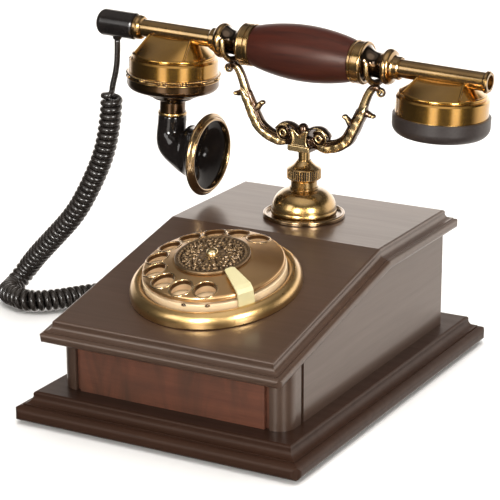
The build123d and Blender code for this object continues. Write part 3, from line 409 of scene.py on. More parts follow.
def rubbed_and_shaded_faces(ob, cell=0.0005, reach=5, depth=0.0014):
    """Marks raised front and rear faces as rubbed bright and sunk faces as dark with patina; faces turned to the side
    are marked darker too, as painted shade.
    """
    me = ob.data
    n = len(me.vertices)
    co, no = np.empty(n * 3), np.empty(n * 3)
    me.vertices.foreach_get("co", co)
    me.vertices.foreach_get("normal", no)
    co, no = co.reshape(-1, 3), no.reshape(-1, 3)
    iu = ((co[:, 0] - co[:, 0].min()) / cell).astype(int) + reach
    iw = ((co[:, 2] - co[:, 2].min()) / cell).astype(int) + reach
    off = co[:, 1] - HS[1] * MM
    wear = np.zeros(n)
    for sg in (-1, 1):
        here = off * sg > 0
        top = np.zeros((iu.max() + reach + 1, iw.max() + reach + 1))
        np.maximum.at(top, (iu[here], iw[here]), np.minimum(off[here] * sg, 0.0062))
        wide = top.copy()
        for du in range(-reach, reach + 1):
            for dw in range(-reach, reach + 1):
                if du * du + dw * dw <= reach * reach:
                    wide = np.maximum(wide, np.roll(np.roll(top, du, 0), dw, 1))
        soft = sum(np.roll(np.roll(wide, du, 0), dw, 1) for du in (-2, 0, 2) for dw in (-2, 0, 2)) / 9
        wear[here] = 1 - np.clip((soft[iu[here], iw[here]] - off[here] * sg) / depth, 0, 1)
    # painted shade: faces that turn away from the front and rear keep less of the bright value, so the side faces come
    # out darker
    face = np.clip((np.abs(no[:, 1]) - 0.22) / 0.45, 0, 1)
    wear = np.clip(0.10 + wear * (0.30 + 0.70 * face), 0, 1)
    at = me.attributes.new("wear", "FLOAT", "POINT")
    at.data.foreach_set("value", wear.astype(np.float32))


rubbed_and_shaded_faces(fork_obj)
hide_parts("cradle_fork")
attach(fork_obj, "hook")


# ---------------------------------------------------------------------------
# dial frame
# ---------------------------------------------------------------------------
SLOPE = math.atan2(89.8 - 62.5, 14.0 + 115.4)
DS, DC = math.sin(SLOPE), math.cos(SLOPE)
DIAL = (0.0, -115.4 + 63.0 * DC, 62.5 + 63.0 * DS)


def dial(x, y, h):
    """Point on the dial (mm): x to the right, y up the slope, h off the surface."""
    return np.array([x, DIAL[1] + y * DC - h * DS, DIAL[2] + y * DS + h * DC]) * MM


# medallion: relief of wound scrolls and petals inside a ring of beads
def scroll_lines():
    lines = []
    u = np.linspace(0, 1, 30)
    for k in range(8):
        base = math.radians(45 * k)
        for flip in (-1, 1):
            q = np.linspace(0, 2.7 * math.pi, 46)
            r = np.linspace(2.25, 0.35, 46)
            lines.append((15.0 + r * np.cos(flip * q + 0.5), flip * 2.75 + r * np.sin(flip * q + 0.5), base, 0.46))
            r = np.linspace(1.55, 0.3, 46)
            lines.append((10.5 + r * np.cos(flip * q + 0.4), flip * 2.15 + r * np.sin(flip * q + 0.4), base, 0.42))
            lines.append((12.2 + 1.7 * u, flip * (0.35 + 0.9 * np.sin(u * math.pi * 0.9)), base, 0.40))
        lines.append((8.5 + 9.2 * u, 0.45 * np.sin(u * math.pi * 3), base, 0.50))
        lines.append((16.4 + 0.95 * np.cos(u * 2 * math.pi), 0.95 * np.sin(u * 2 * math.pi), base + math.radians(22.5), 0.40))
        lines.append((12.6 + 0.75 * np.cos(u * 2 * math.pi), 0.75 * np.sin(u * 2 * math.pi), base + math.radians(22.5), 0.40))
        for w in (-1, 1):
            lines.append((8.5 + 2.6 * u, w * (0.3 + 0.8 * np.sin(u * math.pi * 0.9)), base + math.radians(22.5), 0.40))
    return lines


def medallion():
    pts, wid = [], []
    for cx, cy, a, w in scroll_lines():
        pts += list(zip(cx * math.cos(a) - cy * math.sin(a), cx * math.sin(a) + cy * math.cos(a)))
        wid += [w] * len(cx)
    tree = kdtree.KDTree(len(pts))
    for i, p in enumerate(pts):
        tree.insert((p[0], p[1], 0), i)
    tree.balance()
    rr = np.concatenate([np.linspace(1.6, 21.0, 112), [21.4, 21.75, 21.95, 22.0, 22.0]])
    nt = 420
    verts, faces, wear = [], [], []
    for i, r in enumerate(rr):
        for j in range(nt):
            a = 2 * math.pi * j / nt
            x, y = r * math.cos(a), r * math.sin(a)
            if r < 4.4:
                h = 21.5
            elif r < 8.2:                      # petals round the screw
                p = abs(math.cos(a * 6))
                h = 20.55 + 0.85 * p ** 0.7 * math.sin(math.pi * (r - 4.0) / 4.4) ** 0.6
            elif r < 18.2:
                _, k, d = tree.find((x, y, 0))
                f = max(0.0, 1 - (d / (wid[k] * 1.15)) ** 2)
                h = 20.4 + 0.95 * math.sqrt(f)
                h += 0.11 * math.sin(x * 5.3) * math.sin(y * 5.7)
            elif r < 20.3:                     # bead ring
                b = (a / (2 * math.pi) * 44) % 1 - 0.5
                d = math.hypot(b * 2 * math.pi * 19.25 / 44, r - 19.25)
                h = 20.45 + 0.95 * math.sqrt(max(0.0, 1 - (d / 1.12) ** 2))
            else:
                h = 21.15
            wear.append(min(1.0, max(0.0, (h - 20.45) / 0.95)))
            if r >= 21.4:
                h = {112: 21.1, 113: 20.9, 114: 20.5, 115: 19.9, 116: 19.0}[i]
                wear[-1] = 0.7
            verts.append(dial(x, y, h))
    n = len(rr)
    for i in range(n - 1):
        for j in range(nt):
            k = (j + 1) % nt
            faces.append((i * nt + j, (i + 1) * nt + j, (i + 1) * nt + k, i * nt + k))
    for j in range(nt):                        # underside and the screw hole's wall
        a = 2 * math.pi * j / nt
        verts.append(dial(1.6 * math.cos(a), 1.6 * math.sin(a), 19.0))
        wear.append(0.2)
    o = n * nt
    for j in range(nt):
        k = (j + 1) % nt
        faces.append((j, k, o + k, o + j))
        faces.append((o + j, o + k, (n - 1) * nt + k, (n - 1) * nt + j))
    ob = mesh_object("medallion_relief", verts, faces)
    at = ob.data.attributes.new("wear", "FLOAT", "POINT")
    at.data.foreach_set("value", np.array(wear, np.float32))
    return ob


medal = medallion()
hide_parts("dial_medallion")
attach(medal, "dial")

# rounded lips round the finger holes
def wheel_top(rho):
    return np.interp(rho, [23.4, 39.6, 40.3, 40.9, 41.0], [19.0, 15.75, 15.4, 14.9, 13.9])


lip_bag = Bag()
for k in range(10):
    a = math.radians(68.5 + 24.8 * k)
    px, py = 33.7 * math.cos(a), 33.7 * math.sin(a)
    nb, ns = 72, 12
    verts, faces = [], []
    for j in range(nb):
        b = 2 * math.pi * j / nb
        for i in range(ns):
            e = 2 * math.pi * i / ns
            rr = 6.92 + 0.60 * math.cos(e)
            x, y = px + rr * math.cos(b), py + rr * math.sin(b)
            verts.append(dial(x, y, wheel_top(math.hypot(px + 6.92 * math.cos(b), py + 6.92 * math.sin(b))) - 0.22 + 0.58 * math.sin(e)))
    for j in range(nb):
        for i in range(ns):
            j2, i2 = (j + 1) % nb, (i + 1) % ns
            faces.append((j * ns + i, j2 * ns + i, j2 * ns + i2, j * ns + i2))
    lip_bag.put(verts, faces)
me = lip_bag.mesh("finger_hole_lips")
me.polygons.foreach_set("use_smooth", [True] * len(me.polygons))
lips = add(bpy.data.objects.new("finger_hole_lips", me))
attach(lips, "dial")

# walls of the finger holes: the upper band is painted shade, a dark copy of the wheel's brass where the wall lies in
# shadow; the guide under it is cream like the plate
def hole_sleeves(name, top, foot, inner, outer):
    bag = Bag()
    for k in range(10):
        a = math.radians(68.5 + 24.8 * k)
        px, py = 33.7 * math.cos(a), 33.7 * math.sin(a)
        nb = 72
        verts, faces = [], []
        for j in range(nb):
            b = 2 * math.pi * j / nb
            for rr, low in ((outer, False), (outer, True), (inner, True), (inner, False)):
                x, y = px + rr * math.cos(b), py + rr * math.sin(b)
                verts.append(dial(x, y, foot(math.hypot(x, y)) if low else top(math.hypot(x, y))))
        for j in range(nb):
            j2 = (j + 1) % nb
            for i in range(4):
                i2 = (i + 1) % 4
                faces.append((j * 4 + i, j2 * 4 + i, j2 * 4 + i2, j * 4 + i2))
        bag.put(verts, faces)
    ob = add(bpy.data.objects.new(name, bag.mesh(name)))
    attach(ob, "dial")
    return ob


hole_wall_shade = hole_sleeves("finger_hole_walls", lambda q: wheel_top(q) - 0.35, lambda q: wheel_top(q) - 2.45, 6.08, 6.28)
hole_guides = hole_sleeves("finger_hole_guides", lambda q: wheel_top(q) - 2.45, lambda q: 12.0, 6.12, 6.28)

# digits sunk in the number plate, one under each finger hole
digits = []
DIAL_M = Matrix(((1, 0, 0, DIAL[0] * MM), (0, DC, -DS, DIAL[1] * MM), (0, DS, DC, DIAL[2] * MM), (0, 0, 0, 1)))
for k in range(10):
    a = math.radians(68.5 + 24.8 * k)
    cu = bpy.data.curves.new(f"digit_{(k + 1) % 10}", "FONT")
    cu.body = str((k + 1) % 10)
    cu.size = 5.6 * MM
    cu.align_x, cu.align_y = "CENTER", "CENTER"
    cu.extrude = 0.03 * MM
    cu.resolution_u = 6
    tmp = add(bpy.data.objects.new("digit_tmp", cu))
    bpy.context.view_layer.update()
    me = bpy.data.meshes.new_from_object(tmp.evaluated_get(bpy.context.evaluated_depsgraph_get()))
    bpy.data.objects.remove(tmp)
    me.transform(DIAL_M @ Matrix.Translation((33.7 * math.cos(a) * MM, 33.7 * math.sin(a) * MM, 11.52 * MM)))
    me.name = f"digit_{(k + 1) % 10}"
    ob = add(bpy.data.objects.new(me.name, me))
    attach(ob, "base")
    digits.append(ob)

# two small oval rivets in the cup's wall, just under the wheel's rim at the front
rivet_bag = Bag()
for mid in (-85.0, -66.0):
    for off, rad in ((-1.35, 0.70), (0.0, 0.95), (1.35, 0.70)):
        a = math.radians(mid + off)
        rivet_bag.ball(dial(41.35 * math.cos(a), 41.35 * math.sin(a), 10.75), rad * MM, seg=20, rings=14)
rivets = add(bpy.data.objects.new("cup_rivets", rivet_bag.mesh("cup_rivets")))
rivets.data.polygons.foreach_set("use_smooth", [True] * len(rivets.data.polygons))
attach(rivets, "base")


# ---------------------------------------------------------------------------
# transmitter band: ring with pearls in a sunk groove and a milled upper edge
# ---------------------------------------------------------------------------
def cup(x, y, z):
    return hand(-91.3 + x, y, z)


def band():
    prof = [(25.45, -24.65), (28.2, -24.65), (29.2, -24.8), (29.55, -25.25), (29.1, -25.7), (28.55, -26.0), (28.5, -26.9), (28.9, -27.2),
            (29.6, -27.4), (29.75, -27.75), (29.2, -28.15), (25.45, -28.15)]
    nt = 768
    verts, faces = [], []
    for j in range(nt):
        a = 2 * math.pi * j / nt
        rope = 0.20 * math.cos(a * 96)
        for i, (r, z) in enumerate(prof):
            q = r + (rope if i in (2, 3, 4) else 0.0)
            verts.append(cup(q * math.cos(a), q * math.sin(a), z))
    m = len(prof)
    for j in range(nt):
        k = (j + 1) % nt
        for i in range(m):
            l = (i + 1) % m
            faces.append((j * m + i, k * m + i, k * m + l, j * m + l))
    bag = Bag()
    bag.put(verts, faces)
    for k in range(13):
        a = 2 * math.pi * (k + 0.35) / 13
        bag.ball(cup(28.9 * math.cos(a), 28.9 * math.sin(a), -26.45), 1.15 * MM, seg=20, rings=14)
        for w in (-1, 1):
            e = a + w * 0.062
            bag.ball(cup(28.75 * math.cos(e), 28.75 * math.sin(e), -26.45), 0.6 * MM, seg=14, rings=10)
    me = bag.mesh("pearl_band")
    me.polygons.foreach_set("use_smooth", [True] * len(me.polygons))
    return add(bpy.data.objects.new("pearl_band", me))


pearls = band()
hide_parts("transmitter_band")
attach(pearls, "handset")


def neck_band():
    """Bright ring round the foot of the transmitter's neck, over its bead."""
    prof = [(8.3, -49.9), (8.75, -49.95), (9.05, -50.3), (9.12, -51.1), (9.05, -51.9), (8.8, -52.3), (8.3, -52.3)]
    nt, m = 128, 7
    verts, faces = [], []
    for j in range(nt):
        a = 2 * math.pi * j / nt
        for r, z in prof:
            verts.append(cup(r * math.cos(a), r * math.sin(a), z))
    for j in range(nt):
        k = (j + 1) % nt
        for i in range(m):
            l = (i + 1) % m
            faces.append((j * m + i, k * m + i, k * m + l, j * m + l))
    bag = Bag()
    bag.put(verts, faces)
    me = bag.mesh("neck_ring")
    me.polygons.foreach_set("use_smooth", [True] * len(me.polygons))
    return add(bpy.data.objects.new("neck_ring", me))


neck_ring = neck_band()
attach(neck_ring, "handset")


# ---------------------------------------------------------------------------
# materials
# ---------------------------------------------------------------------------
class Mat:
    def __init__(self, name):
        self.m = bpy.data.materials.new(name)
        self.m.use_nodes = True
        self.t = self.m.node_tree
        self.b = next(n for n in self.t.nodes if n.type == "BSDF_PRINCIPLED")

    def node(self, kind, **props):
        n = self.t.nodes.new(kind)
        for k, v in props.items():
            setattr(n, k, v)
        return n

    def link(self, a, b):
        self.t.links.new(a, b)

    def set(self, **values):
        for k, v in values.items():
            self.b.inputs[k.replace("_", " ")].default_value = v

    def coords(self, scale=(1, 1, 1), turn=(0, 0, 0)):
        c = self.node("ShaderNodeTexCoord")
        m = self.node("ShaderNodeMapping")
        m.inputs["Scale"].default_value = scale
        m.inputs["Rotation"].default_value = turn
        self.link(c.outputs["Object"], m.inputs["Vector"])
        return m.outputs["Vector"]

    def noise(self, vec, scale, detail=4.0, rough=0.55, distort=0.0):
        n = self.node("ShaderNodeTexNoise")
        n.inputs["Scale"].default_value = scale
        n.inputs["Detail"].default_value = detail
        n.inputs["Roughness"].default_value = rough
        n.inputs["Distortion"].default_value = distort
        self.link(vec, n.inputs["Vector"])
        return n.outputs[0]

    def ramp(self, fac, *stops):
        r = self.node("ShaderNodeValToRGB")
        e = r.color_ramp.elements
        while len(e) < len(stops):
            e.new(0.5)
        for k, (p, c) in zip(e, stops):
            k.position = p
            k.color = (c, c, c, 1) if isinstance(c, (int, float)) else (*c, 1)
        self.link(fac, r.inputs["Fac"])
        return r.outputs["Color"]

    def mix(self, fac, a, b, blend="MIX"):
        n = self.node("ShaderNodeMix", data_type="RGBA", blend_type=blend)
        for sock, v in ((n.inputs[0], fac), (n.inputs[6], a), (n.inputs[7], b)):
            if isinstance(v, bpy.types.NodeSocket):
                self.link(v, sock)
            elif isinstance(v, (int, float)):
                sock.default_value = v
            else:
                sock.default_value = (*v, 1)
        return n.outputs[2]

    def bump(self, height, strength, distance):
        n = self.node("ShaderNodeBump")
        n.inputs["Strength"].default_value = strength
        n.inputs["Distance"].default_value = distance
        self.link(height, n.inputs["Height"])
        self.link(n.outputs["Normal"], self.b.inputs["Normal"])

    def spun(self, axis, amount):
        """Fine turning marks round an axis: the shine spreads across them."""
        n = self.node("ShaderNodeTangent", direction_type="RADIAL", axis=axis)
        self.link(n.outputs["Tangent"], self.b.inputs["Tangent"])
        self.set(Anisotropic=amount)

    def flute_shade(self, count, low, high):
        """Painted shade in the flutes round an upright axis, between two heights of the piece (0 foot, 1 top)."""
        c = self.node("ShaderNodeTexCoord")
        p = self.node("ShaderNodeSeparateXYZ")
        self.link(c.outputs["Generated"], p.inputs[0])

        def calc(op, a, b):
            n = self.node("ShaderNodeMath", operation=op)
            n.inputs[2].default_value = 0.5
            for sock, v in zip(n.inputs, (a, b)):
                if isinstance(v, bpy.types.NodeSocket):
                    self.link(v, sock)
                else:
                    sock.default_value = v
            return n.outputs[0]

        turn = calc("ARCTAN2", calc("SUBTRACT", p.outputs["Y"], 0.5), calc("SUBTRACT", p.outputs["X"], 0.5))
        wave = self.ramp(calc("MULTIPLY_ADD", calc("COSINE", calc("MULTIPLY", turn, float(count)), 0.0), 0.5), (0.35, 0.0), (0.62, 1.0))
        inside = calc("MULTIPLY", calc("GREATER_THAN", p.outputs["Z"], low), calc("LESS_THAN", p.outputs["Z"], high))
        return calc("MULTIPLY", wave, inside)

    def looks(self, ob, point, way):
        """1 where the surface of a piece looks along a way, on the far side of a point."""
        inv = ob.matrix_world.inverted()
        d = (inv.to_3x3() @ Vector(way)).normalized()
        c = self.node("ShaderNodeTexCoord")
        out = []
        for key in ("Normal", "Object"):
            n = self.node("ShaderNodeVectorMath", operation="DOT_PRODUCT")
            self.link(c.outputs[key], n.inputs[0])
            n.inputs[1].default_value = d
            out.append(n.outputs["Value"])
        beyond = self.node("ShaderNodeMath", operation="GREATER_THAN")
        self.link(out[1], beyond.inputs[0])
        beyond.inputs[1].default_value = (inv @ Vector(point)).dot(d)
        both = self.node("ShaderNodeMath", operation="MULTIPLY")
        self.link(self.ramp(out[0], (0.10, 0.0), (0.30, 1.0)), both.inputs[0])
        self.link(beyond.outputs[0], both.inputs[1])
        return both.outputs[0]

    def hollow(self, distance, local=True):
        n = self.node("ShaderNodeAmbientOcclusion", samples=16, only_local=local)
        n.inputs["Distance"].default_value = distance
        return n.outputs["AO"]


def brass(name, bright, dark, tarnish_and_shade, rough=0.28, hollow=3.0, attribute=None, spun=None, deep=(0.35, 0.92), coat=1.0, coat_rough=0.07, flutes=None):
    """Antiqued brass: even colour, a dark skin left in the hollows, satin shine. A vertex attribute, when given, takes
    the place of the hollows and can carry painted shade as well; flutes, when given, are filled with painted shade.
    """
    m = Mat(name)
    v = m.coords()
    cloud = m.noise(v, 42, 3, 0.5, 0.3)
    fine = m.noise(v, 700, 3, 0.6)
    col = m.mix(m.ramp(cloud, (0.36, 0.0), (0.66, 1.0)), dark, bright)
    if attribute:
        a = m.node("ShaderNodeAttribute", attribute_name=attribute)
        skin_and_shade = m.ramp(a.outputs["Fac"], (0.25, 0.0), (0.95, 1.0))
    else:
        skin_and_shade = m.ramp(m.hollow(hollow * MM), (deep[0], 0.0), (deep[1], 1.0))
    col = m.mix(skin_and_shade, tarnish_and_shade, col)
    if flutes:
        col = m.mix(m.flute_shade(*flutes), col, tarnish_and_shade)
    m.link(col, m.b.inputs["Base Color"])
    m.link(m.ramp(fine, (0.3, rough - 0.03), (0.75, rough + 0.05)), m.b.inputs["Roughness"])
    m.set(Metallic=1.0, Coat_Weight=coat, Coat_Roughness=coat_rough)
    if spun:
        m.spun(*spun)
    m.bump(fine, 0.008, 0.0001)
    return m.m


def wood(name, light, dark, axis, rough=0.36, coat=0.5, scale=1.0, coat_rough=0.2, spec=0.5, figure=None):
    """Stained wood under lacquer; axis is the way the grain runs (0 x, 1 y)."""
    m = Mat(name)
    s = [1.0, 1.0, 1.0]
    s[axis] = 0.055
    v = m.coords(tuple(s))
    grain = m.noise(v, 190 * scale, 7, 0.62, 0.6)
    broad = m.noise(v, 38 * scale, 3, 0.5, 0.9)
    pore = m.noise(v, 900 * scale, 2, 0.5)
    col = m.mix(m.ramp(grain, (0.30, 0.0), (0.72, 1.0)), dark, light)
    col = m.mix(m.ramp(broad, (0.35, 0.0), (0.70, 0.55)), col, dark)
    if figure:
        flame = m.noise(m.coords((1.0, 1.0, 0.30), (0, 0.25, 0)), 46, 4, 0.6, 1.2)
        col = m.mix(m.ramp(flame, (0.38, 0.0), (0.66, 0.85)), col, figure)
    col = m.mix(m.ramp(pore, (0.60, 0.0), (0.72, 0.25)), col, tuple(c * 0.5 for c in dark))
    m.link(col, m.b.inputs["Base Color"])
    m.link(m.ramp(grain, (0.3, rough + 0.05), (0.7, rough - 0.03)), m.b.inputs["Roughness"])
    m.set(Coat_Weight=coat, Coat_Roughness=coat_rough, Specular_IOR_Level=spec, Specular_Tint=(1.0, 0.82, 0.70, 1.0))
    m.bump(pore, 0.06, 0.0002)
    return m.m


def plain(name, a, b, rough, scale, bumpy=0.1, coat=0.0, metal=0.0, depth=0.0002, shade=None):
    m = Mat(name)
    v = m.coords()
    n1, n2 = m.noise(v, scale, 4), m.noise(v, scale * 7, 3)
    m.link(m.mix(m.ramp(n1, (0.35, 0.0), (0.68, 1.0)), a, b), m.b.inputs["Base Color"])
    m.link(m.ramp(n2, (0.3, max(0.02, rough - 0.05)), (0.72, rough + 0.06)), m.b.inputs["Roughness"])
    m.set(Coat_Weight=coat, Metallic=metal)
    if shade:
        m.link(m.ramp(m.looks(*shade), (0.0, 0.5), (1.0, 0.10)), m.b.inputs["Specular IOR Level"])
    m.bump(n2, bumpy, depth)
    return m.m


GOLD, BROWN, SKIN = (0.56, 0.375, 0.135), (0.43, 0.275, 0.088), (0.060, 0.030, 0.012)
WOOD_L, WOOD_D = (0.066, 0.037, 0.0250), (0.050, 0.028, 0.0185)
M = {
    "wood_x": wood("wood_dark_x", WOOD_L, WOOD_D, 0),
    "wood_y": wood("wood_dark_y", WOOD_L, WOOD_D, 1),
    # painted shade: a darker, less shiny copy of the case wood for the plinth, which sits in the shade close to the
    # table
    "wood_foot_shaded": wood("wood_dark_foot", (0.037, 0.0166, 0.0100), (0.027, 0.0122, 0.0074), 0, 0.42, 0.10, 1.0, 0.26, 0.12),
    "wood_red": wood("wood_mahogany", (0.190, 0.066, 0.036), (0.092, 0.031, 0.018), 0, 0.38, 0.3, 1.0, 0.24, 0.4, (0.056, 0.027, 0.017)),
    "grip": wood("wood_grip", (0.080, 0.0165, 0.0090), (0.030, 0.0072, 0.0048), 0, 0.42, 0.12, 1.3, 0.30, 0.22),
    "brass": brass("brass_antique", (0.46, 0.298, 0.106), (0.35, 0.216, 0.071), SKIN, 0.24, 2.2, spun=("Z", 0.5), deep=(0.25, 0.80)),
    # painted shade: the collar's flutes are filled with a near-black colour by angle, and its close hollows darkened,
    # to bring out the ribs
    "brass_knurl": brass("brass_knurl", (0.56, 0.370, 0.150), (0.45, 0.288, 0.108), (0.016, 0.008, 0.004), 0.26, 0.9, deep=(0.30, 0.80), flutes=(44, 0.06, 0.552)),
    "brass_dark": brass("brass_dark", (0.30, 0.188, 0.084), (0.22, 0.135, 0.058), SKIN, 0.20, 1.2, spun=("Z", 0.5), deep=(0.25, 0.80)),
    "brass_x": brass("brass_tubes", (0.38, 0.232, 0.084), (0.27, 0.160, 0.054), SKIN, 0.22, 2.0, spun=("X", 0.4), deep=(0.15, 0.6)),
    "brass_copper": brass("brass_cups", (0.55, 0.305, 0.056), (0.42, 0.220, 0.037), (0.060, 0.028, 0.010), 0.18, 1.4, spun=("Z", 0.5), deep=(0.15, 0.6)),
    # painted shade: a much darker copy of the cup brass for the transmitter's base below the band
    "brass_base": brass("brass_base", (0.120, 0.062, 0.021), (0.088, 0.045, 0.015), (0.030, 0.014, 0.006), 0.22, 1.6, spun=("Z", 0.5), deep=(0.2, 0.7), coat=0.6),
    "brass_band": brass("brass_band", (0.46, 0.280, 0.090), (0.34, 0.195, 0.055), (0.040, 0.019, 0.008), 0.14, 1.8, deep=(0.45, 0.90)),
    # painted shade on the fork: its attribute holds patina in the hollows and painted shade on the side faces
    "brass_fork": brass("brass_cast", (0.80, 0.60, 0.32), (0.64, 0.45, 0.20), (0.060, 0.030, 0.013), 0.27, 2.2, "wear", coat=0.6),
    "brass_dial": brass("brass_dial", (0.70, 0.440, 0.205), (0.60, 0.368, 0.162), (0.13, 0.068, 0.030), 0.33, 2.5, deep=(0.2, 0.75), coat=0.6, coat_rough=0.12),
    "brass_bezel": brass("brass_bezel", (0.64, 0.425, 0.178), (0.54, 0.348, 0.136), (0.13, 0.068, 0.027), 0.30, 2.0, deep=(0.2, 0.7), coat=0.7, coat_rough=0.12),
    "brass_lip": brass("brass_lip", (0.66, 0.47, 0.24), (0.54, 0.36, 0.165), (0.16, 0.090, 0.040), 0.24, 0.8, deep=(0.2, 0.7)),
    # painted shade: a dark copy of the wheel's brass for the shadowed upper band of the finger hole walls
    "brass_wall": brass("brass_wall", (0.115, 0.062, 0.028), (0.075, 0.040, 0.018), (0.030, 0.016, 0.008), 0.34, 0.8, deep=(0.2, 0.7), coat=0.3, coat_rough=0.2),
    "brass_relief": brass("brass_relief", (0.29, 0.196, 0.104), (0.235, 0.152, 0.075), (0.105, 0.062, 0.032), 0.44, 1.5, "wear", coat=0.35),
    "screw": brass("brass_screw", (0.84, 0.66, 0.34), (0.70, 0.51, 0.23), (0.20, 0.12, 0.05), 0.22, 1.0),
    "cream": plain("cream_lacquer", (0.78, 0.605, 0.385), (0.84, 0.660, 0.425), 0.34, 60, 0.03, 0.15, 0.08),
    "cream_stop": plain("cream_stop", (0.60, 0.535, 0.290), (0.64, 0.575, 0.325), 0.36, 60, 0.03, 0.1, 0.05),
    "black": plain("black_gloss", (0.008, 0.0065, 0.006), (0.014, 0.0105, 0.0095), 0.22, 60, 0.03),
    "ear": plain("ear_black", (0.023, 0.0160, 0.0140), (0.034, 0.0240, 0.0210), 0.42, 700, 0.16, 0.06),
    "cord": plain("cord_vinyl", (0.017, 0.0135, 0.0115), (0.028, 0.0225, 0.0190), 0.26, 160, 0.03, 0.25),
    "black_horn": plain("black_horn", (0.008, 0.0065, 0.006), (0.013, 0.0100, 0.0090), 0.10, 60, 0.02, 0.0, 0.0, 0.0002, (NODES["mouthpiece_horn"], hand(-74.4, 0, -74), hand(1, 0, 0) - hand(0, 0, 0))),
    "neck": brass("bronze_neck", (0.115, 0.070, 0.036), (0.080, 0.048, 0.025), (0.030, 0.016, 0.008), 0.12, 1.0, deep=(0.2, 0.7)),
    "brass_rim": brass("brass_rim", (0.38, 0.250, 0.115), (0.29, 0.186, 0.080), SKIN, 0.20, 1.0, deep=(0.2, 0.7)),
    "cream_guide": plain("cream_guide", (0.54, 0.365, 0.205), (0.60, 0.415, 0.240), 0.40, 60, 0.03, 0.10),
    "felt": plain("felt_green", (0.012, 0.020, 0.014), (0.026, 0.038, 0.028), 0.85, 900, 0.6),
    "board": plain("board_brown", (0.09, 0.06, 0.035), (0.15, 0.10, 0.06), 0.5, 220, 0.2),
    "steel": plain("steel_plain", (0.46, 0.45, 0.43), (0.60, 0.59, 0.56), 0.28, 200, 0.08, 0.0, 1.0),
    "digit": plain("digit_ink", (0.36, 0.25, 0.14), (0.44, 0.31, 0.18), 0.5, 500, 0.1),
}
USE = {
    "wood_foot_shaded": ["plinth"],
    "wood_x": ["lid", "front_posts", "back_panel", "glue_blocks"],
    "wood_y": ["side_panels"],
    "wood_red": ["front_panel"],
    "grip": ["handset_grip"],
    "brass": ["cradle_dome", "hook_stem"],
    "brass_knurl": ["knurled_collar"],
    "brass_dark": ["cradle_flange"],
    "brass_x": ["handset_ferrules", "handset_flanges", "right_tube", "left_tube"],
    "brass_rim": ["horn_rim"],
    "neck": ["handset_necks"],
    "black_horn": ["mouthpiece_horn"],
    "brass_copper": ["transmitter_cup", "receiver_cup"],
    "brass_base": ["transmitter_base"],
    "brass_dial": ["finger_wheel"],
    "brass_bezel": ["dial_bezel"],
    "screw": ["medallion_screw"],
    "cream": ["number_cup"],
    "cream_stop": ["finger_stop"],
    "black": ["end_cap", "cord_bush"],
    "ear": ["ear_cap", "line_jack", "cord_gland"],
    "felt": ["felt_sole"],
    "board": ["bottom_cover", "circuit_board", "hook_switch", "pulse_contacts"],
    "steel": ["base_screws", "dial_screws", "dial_shaft", "dial_frame", "dial_return_spring", "governor_drum", "governor_rotor",
              "main_gear", "retaining_clip", "hook_leaf_spring", "ringer_bracket", "ringer_gongs", "ringer_clapper", "tie_rod",
              "transmitter_capsule", "receiver_capsule", "plunger_bush"],
}


def paint(ob, mat):
    if not ob.material_slots:
        ob.data.materials.append(mat)
    for s in ob.material_slots:
        s.material = mat


for key, names in USE.items():
    for nm in names:
        paint(NODES[nm], M[key])
paint(cord, M["cord"])
paint(fork_obj, M["brass_fork"])
paint(medal, M["brass_relief"])
paint(pearls, M["brass_band"])
paint(neck_ring, M["brass"])
paint(rivets, M["neck"])
paint(hole_wall_shade, M["brass_wall"])
paint(hole_guides, M["cream_guide"])
paint(lips, M["brass_lip"])
for ob in digits:
    paint(ob, M["digit"])


# ---------------------------------------------------------------------------
# floor, light
# ---------------------------------------------------------------------------
R = 4.0
ring = [(R * math.cos(a), R * math.sin(a), -0.0002) for a in np.linspace(0, 2 * math.pi, 96, endpoint=False)]
floor = mesh_object("floor", ring, [tuple(range(96))], False)
floor.visible_glossy = False
fm = Mat("floor_white")
fm.set(Base_Color=(0.93, 0.93, 0.925, 1), Roughness=0.8)
paint(floor, fm.m)

# surroundings: a white sweep low behind the object, dark overhead and at the sides
world = bpy.data.worlds.new("studio")
scene.world = world
world.use_nodes = True
wt = world.node_tree
bg = wt.nodes["Background"]


def wnode(kind, **props):
    n = wt.nodes.new(kind)
    for k, v in props.items():
        setattr(n, k, v)
    return n


def wput(sock, v):
    if isinstance(v, bpy.types.NodeSocket):
        wt.links.new(v, sock)
    else:
        sock.default_value = v


def step(v, a, b, c, d):
    n = wnode("ShaderNodeMapRange", interpolation_type="SMOOTHSTEP")
    for k, x in zip(("Value", "From Min", "From Max", "To Min", "To Max"), (v, a, b, c, d)):
        wput(n.inputs[k], x)
    return n.outputs["Result"]


def calc(op, a, b):
    n = wnode("ShaderNodeMath", operation=op)
    wput(n.inputs[0], a)
    wput(n.inputs[1], b)
    return n.outputs[0]


way = wnode("ShaderNodeTexCoord").outputs["Generated"]
sep = wnode("ShaderNodeSeparateXYZ")
wput(sep.inputs[0], way)
toward = wnode("ShaderNodeVectorMath", operation="DOT_PRODUCT")
wput(toward.inputs[0], way)
toward.inputs[1].default_value = (0.494, -0.870, 0.0)
aside = wnode("ShaderNodeVectorMath", operation="DOT_PRODUCT")
wput(aside.inputs[0], way)
aside.inputs[1].default_value = (0.870, 0.494, 0.0)
front = toward.outputs["Value"]
ratio = calc("DIVIDE", calc("ABSOLUTE", aside.outputs["Value"], 0.0), calc("MAXIMUM", front, 0.05))
sweep_back = calc("MULTIPLY", step(sep.outputs["Y"], 0.12, 0.62, 0.0, 1.0), step(sep.outputs["Z"], 0.30, 0.50, 1.0, 0.0))
sweep_back = calc("MULTIPLY", sweep_back, step(sep.outputs["Z"], -0.32, 0.10, 0.66, 1.0))
low = calc("MULTIPLY", step(sep.outputs["Z"], -0.10, 0.12, 1.0, 0.0), step(sep.outputs["Z"], -0.55, -0.34, 0.0, 1.0))
table = calc("MULTIPLY", step(front, 0.15, 0.95, 0.0, 1.0), low)
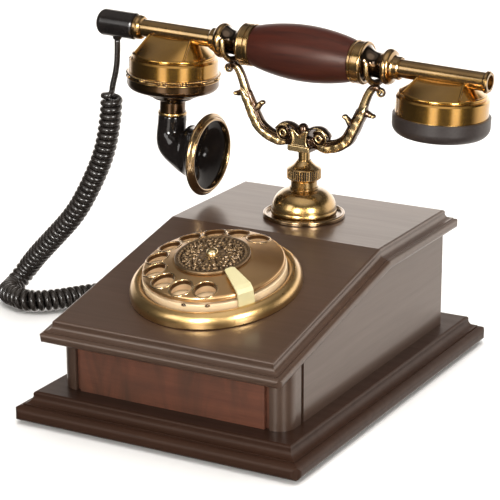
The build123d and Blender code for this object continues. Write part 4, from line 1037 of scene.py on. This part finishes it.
bands = calc("MULTIPLY", calc("MULTIPLY", step(ratio, 0.24, 0.40, 0.0, 1.0), step(ratio, 0.62, 0.90, 1.0, 0.0)), calc("MULTIPLY", low, step(front, 0.1, 0.4, 0.0, 1.0)))
above = wnode("ShaderNodeVectorMath", operation="DOT_PRODUCT")
wput(above.inputs[0], way)
above.inputs[1].default_value = (0.12, -0.25, 0.96)
over = calc("ADD", step(sep.outputs["Z"], 0.66, 0.80, 0.0, 0.27), step(above.outputs["Value"], 0.82, 0.97, 0.0, 0.75))
level = calc("ADD", calc("ADD", 0.055, calc("MULTIPLY", sweep_back, 1.85)), calc("ADD", calc("MULTIPLY", table, 0.10), calc("MULTIPLY", bands, 1.95)))
level = calc("ADD", level, over)
camera_ray = wnode("ShaderNodeLightPath").outputs["Is Camera Ray"]
seen = calc("MAXIMUM", level, camera_ray)
tint = wnode("ShaderNodeMix", data_type="RGBA")
wput(tint.inputs[0], camera_ray)
tint.inputs[6].default_value = (1.0, 0.93, 0.86, 1)
tint.inputs[7].default_value = (1.0, 0.995, 0.985, 1)
wput(bg.inputs["Color"], tint.outputs[2])
wput(bg.inputs["Strength"], seen)


def softbox(name, at, aim, w, h, power, colour=(1, 0.98, 0.95), shine=True, fill=True):
    li = bpy.data.lights.new(name, "AREA")
    li.shape, li.size, li.size_y, li.energy, li.color = "RECTANGLE", w, h, power, colour
    ob = add(bpy.data.objects.new(name, li))
    ob.location = at
    ob.rotation_mode = "QUATERNION"
    ob.rotation_quaternion = (Vector(aim) - Vector(at)).to_track_quat("-Z", "Y")
    ob.visible_glossy = shine
    ob.visible_diffuse = fill


softbox("front_left", (0.09, -1.45, 0.50), (0, 0, 0.14), 0.40, 0.55, 10.5)
softbox("front_right", (1.20, -0.82, 0.50), (0, 0, 0.14), 0.40, 0.55, 10.5)
softbox("left", (-0.74, -1.31, 0.74), (0, 0, 0.16), 0.50, 0.80, 4.6, fill=False)
softbox("front_left_glint", (0.09, -1.44, 0.50), (0, 0, 0.14), 0.30, 0.55, 12, fill=False)
softbox("front_right_glint", (1.19, -0.82, 0.50), (0, 0, 0.14), 0.30, 0.55, 12, fill=False)
softbox("overhead", (0.0, 0.3, 3.0), (0.0, 0.3, 0.0), 3.0, 3.0, 75, (1, 0.99, 0.97), False)
softbox("sweep", (-0.4, 2.2, 1.6), (-0.35, 1.0, 0.0), 2.4, 0.8, 40, (1, 1, 1), False)
scene.view_settings.view_transform = "Standard"
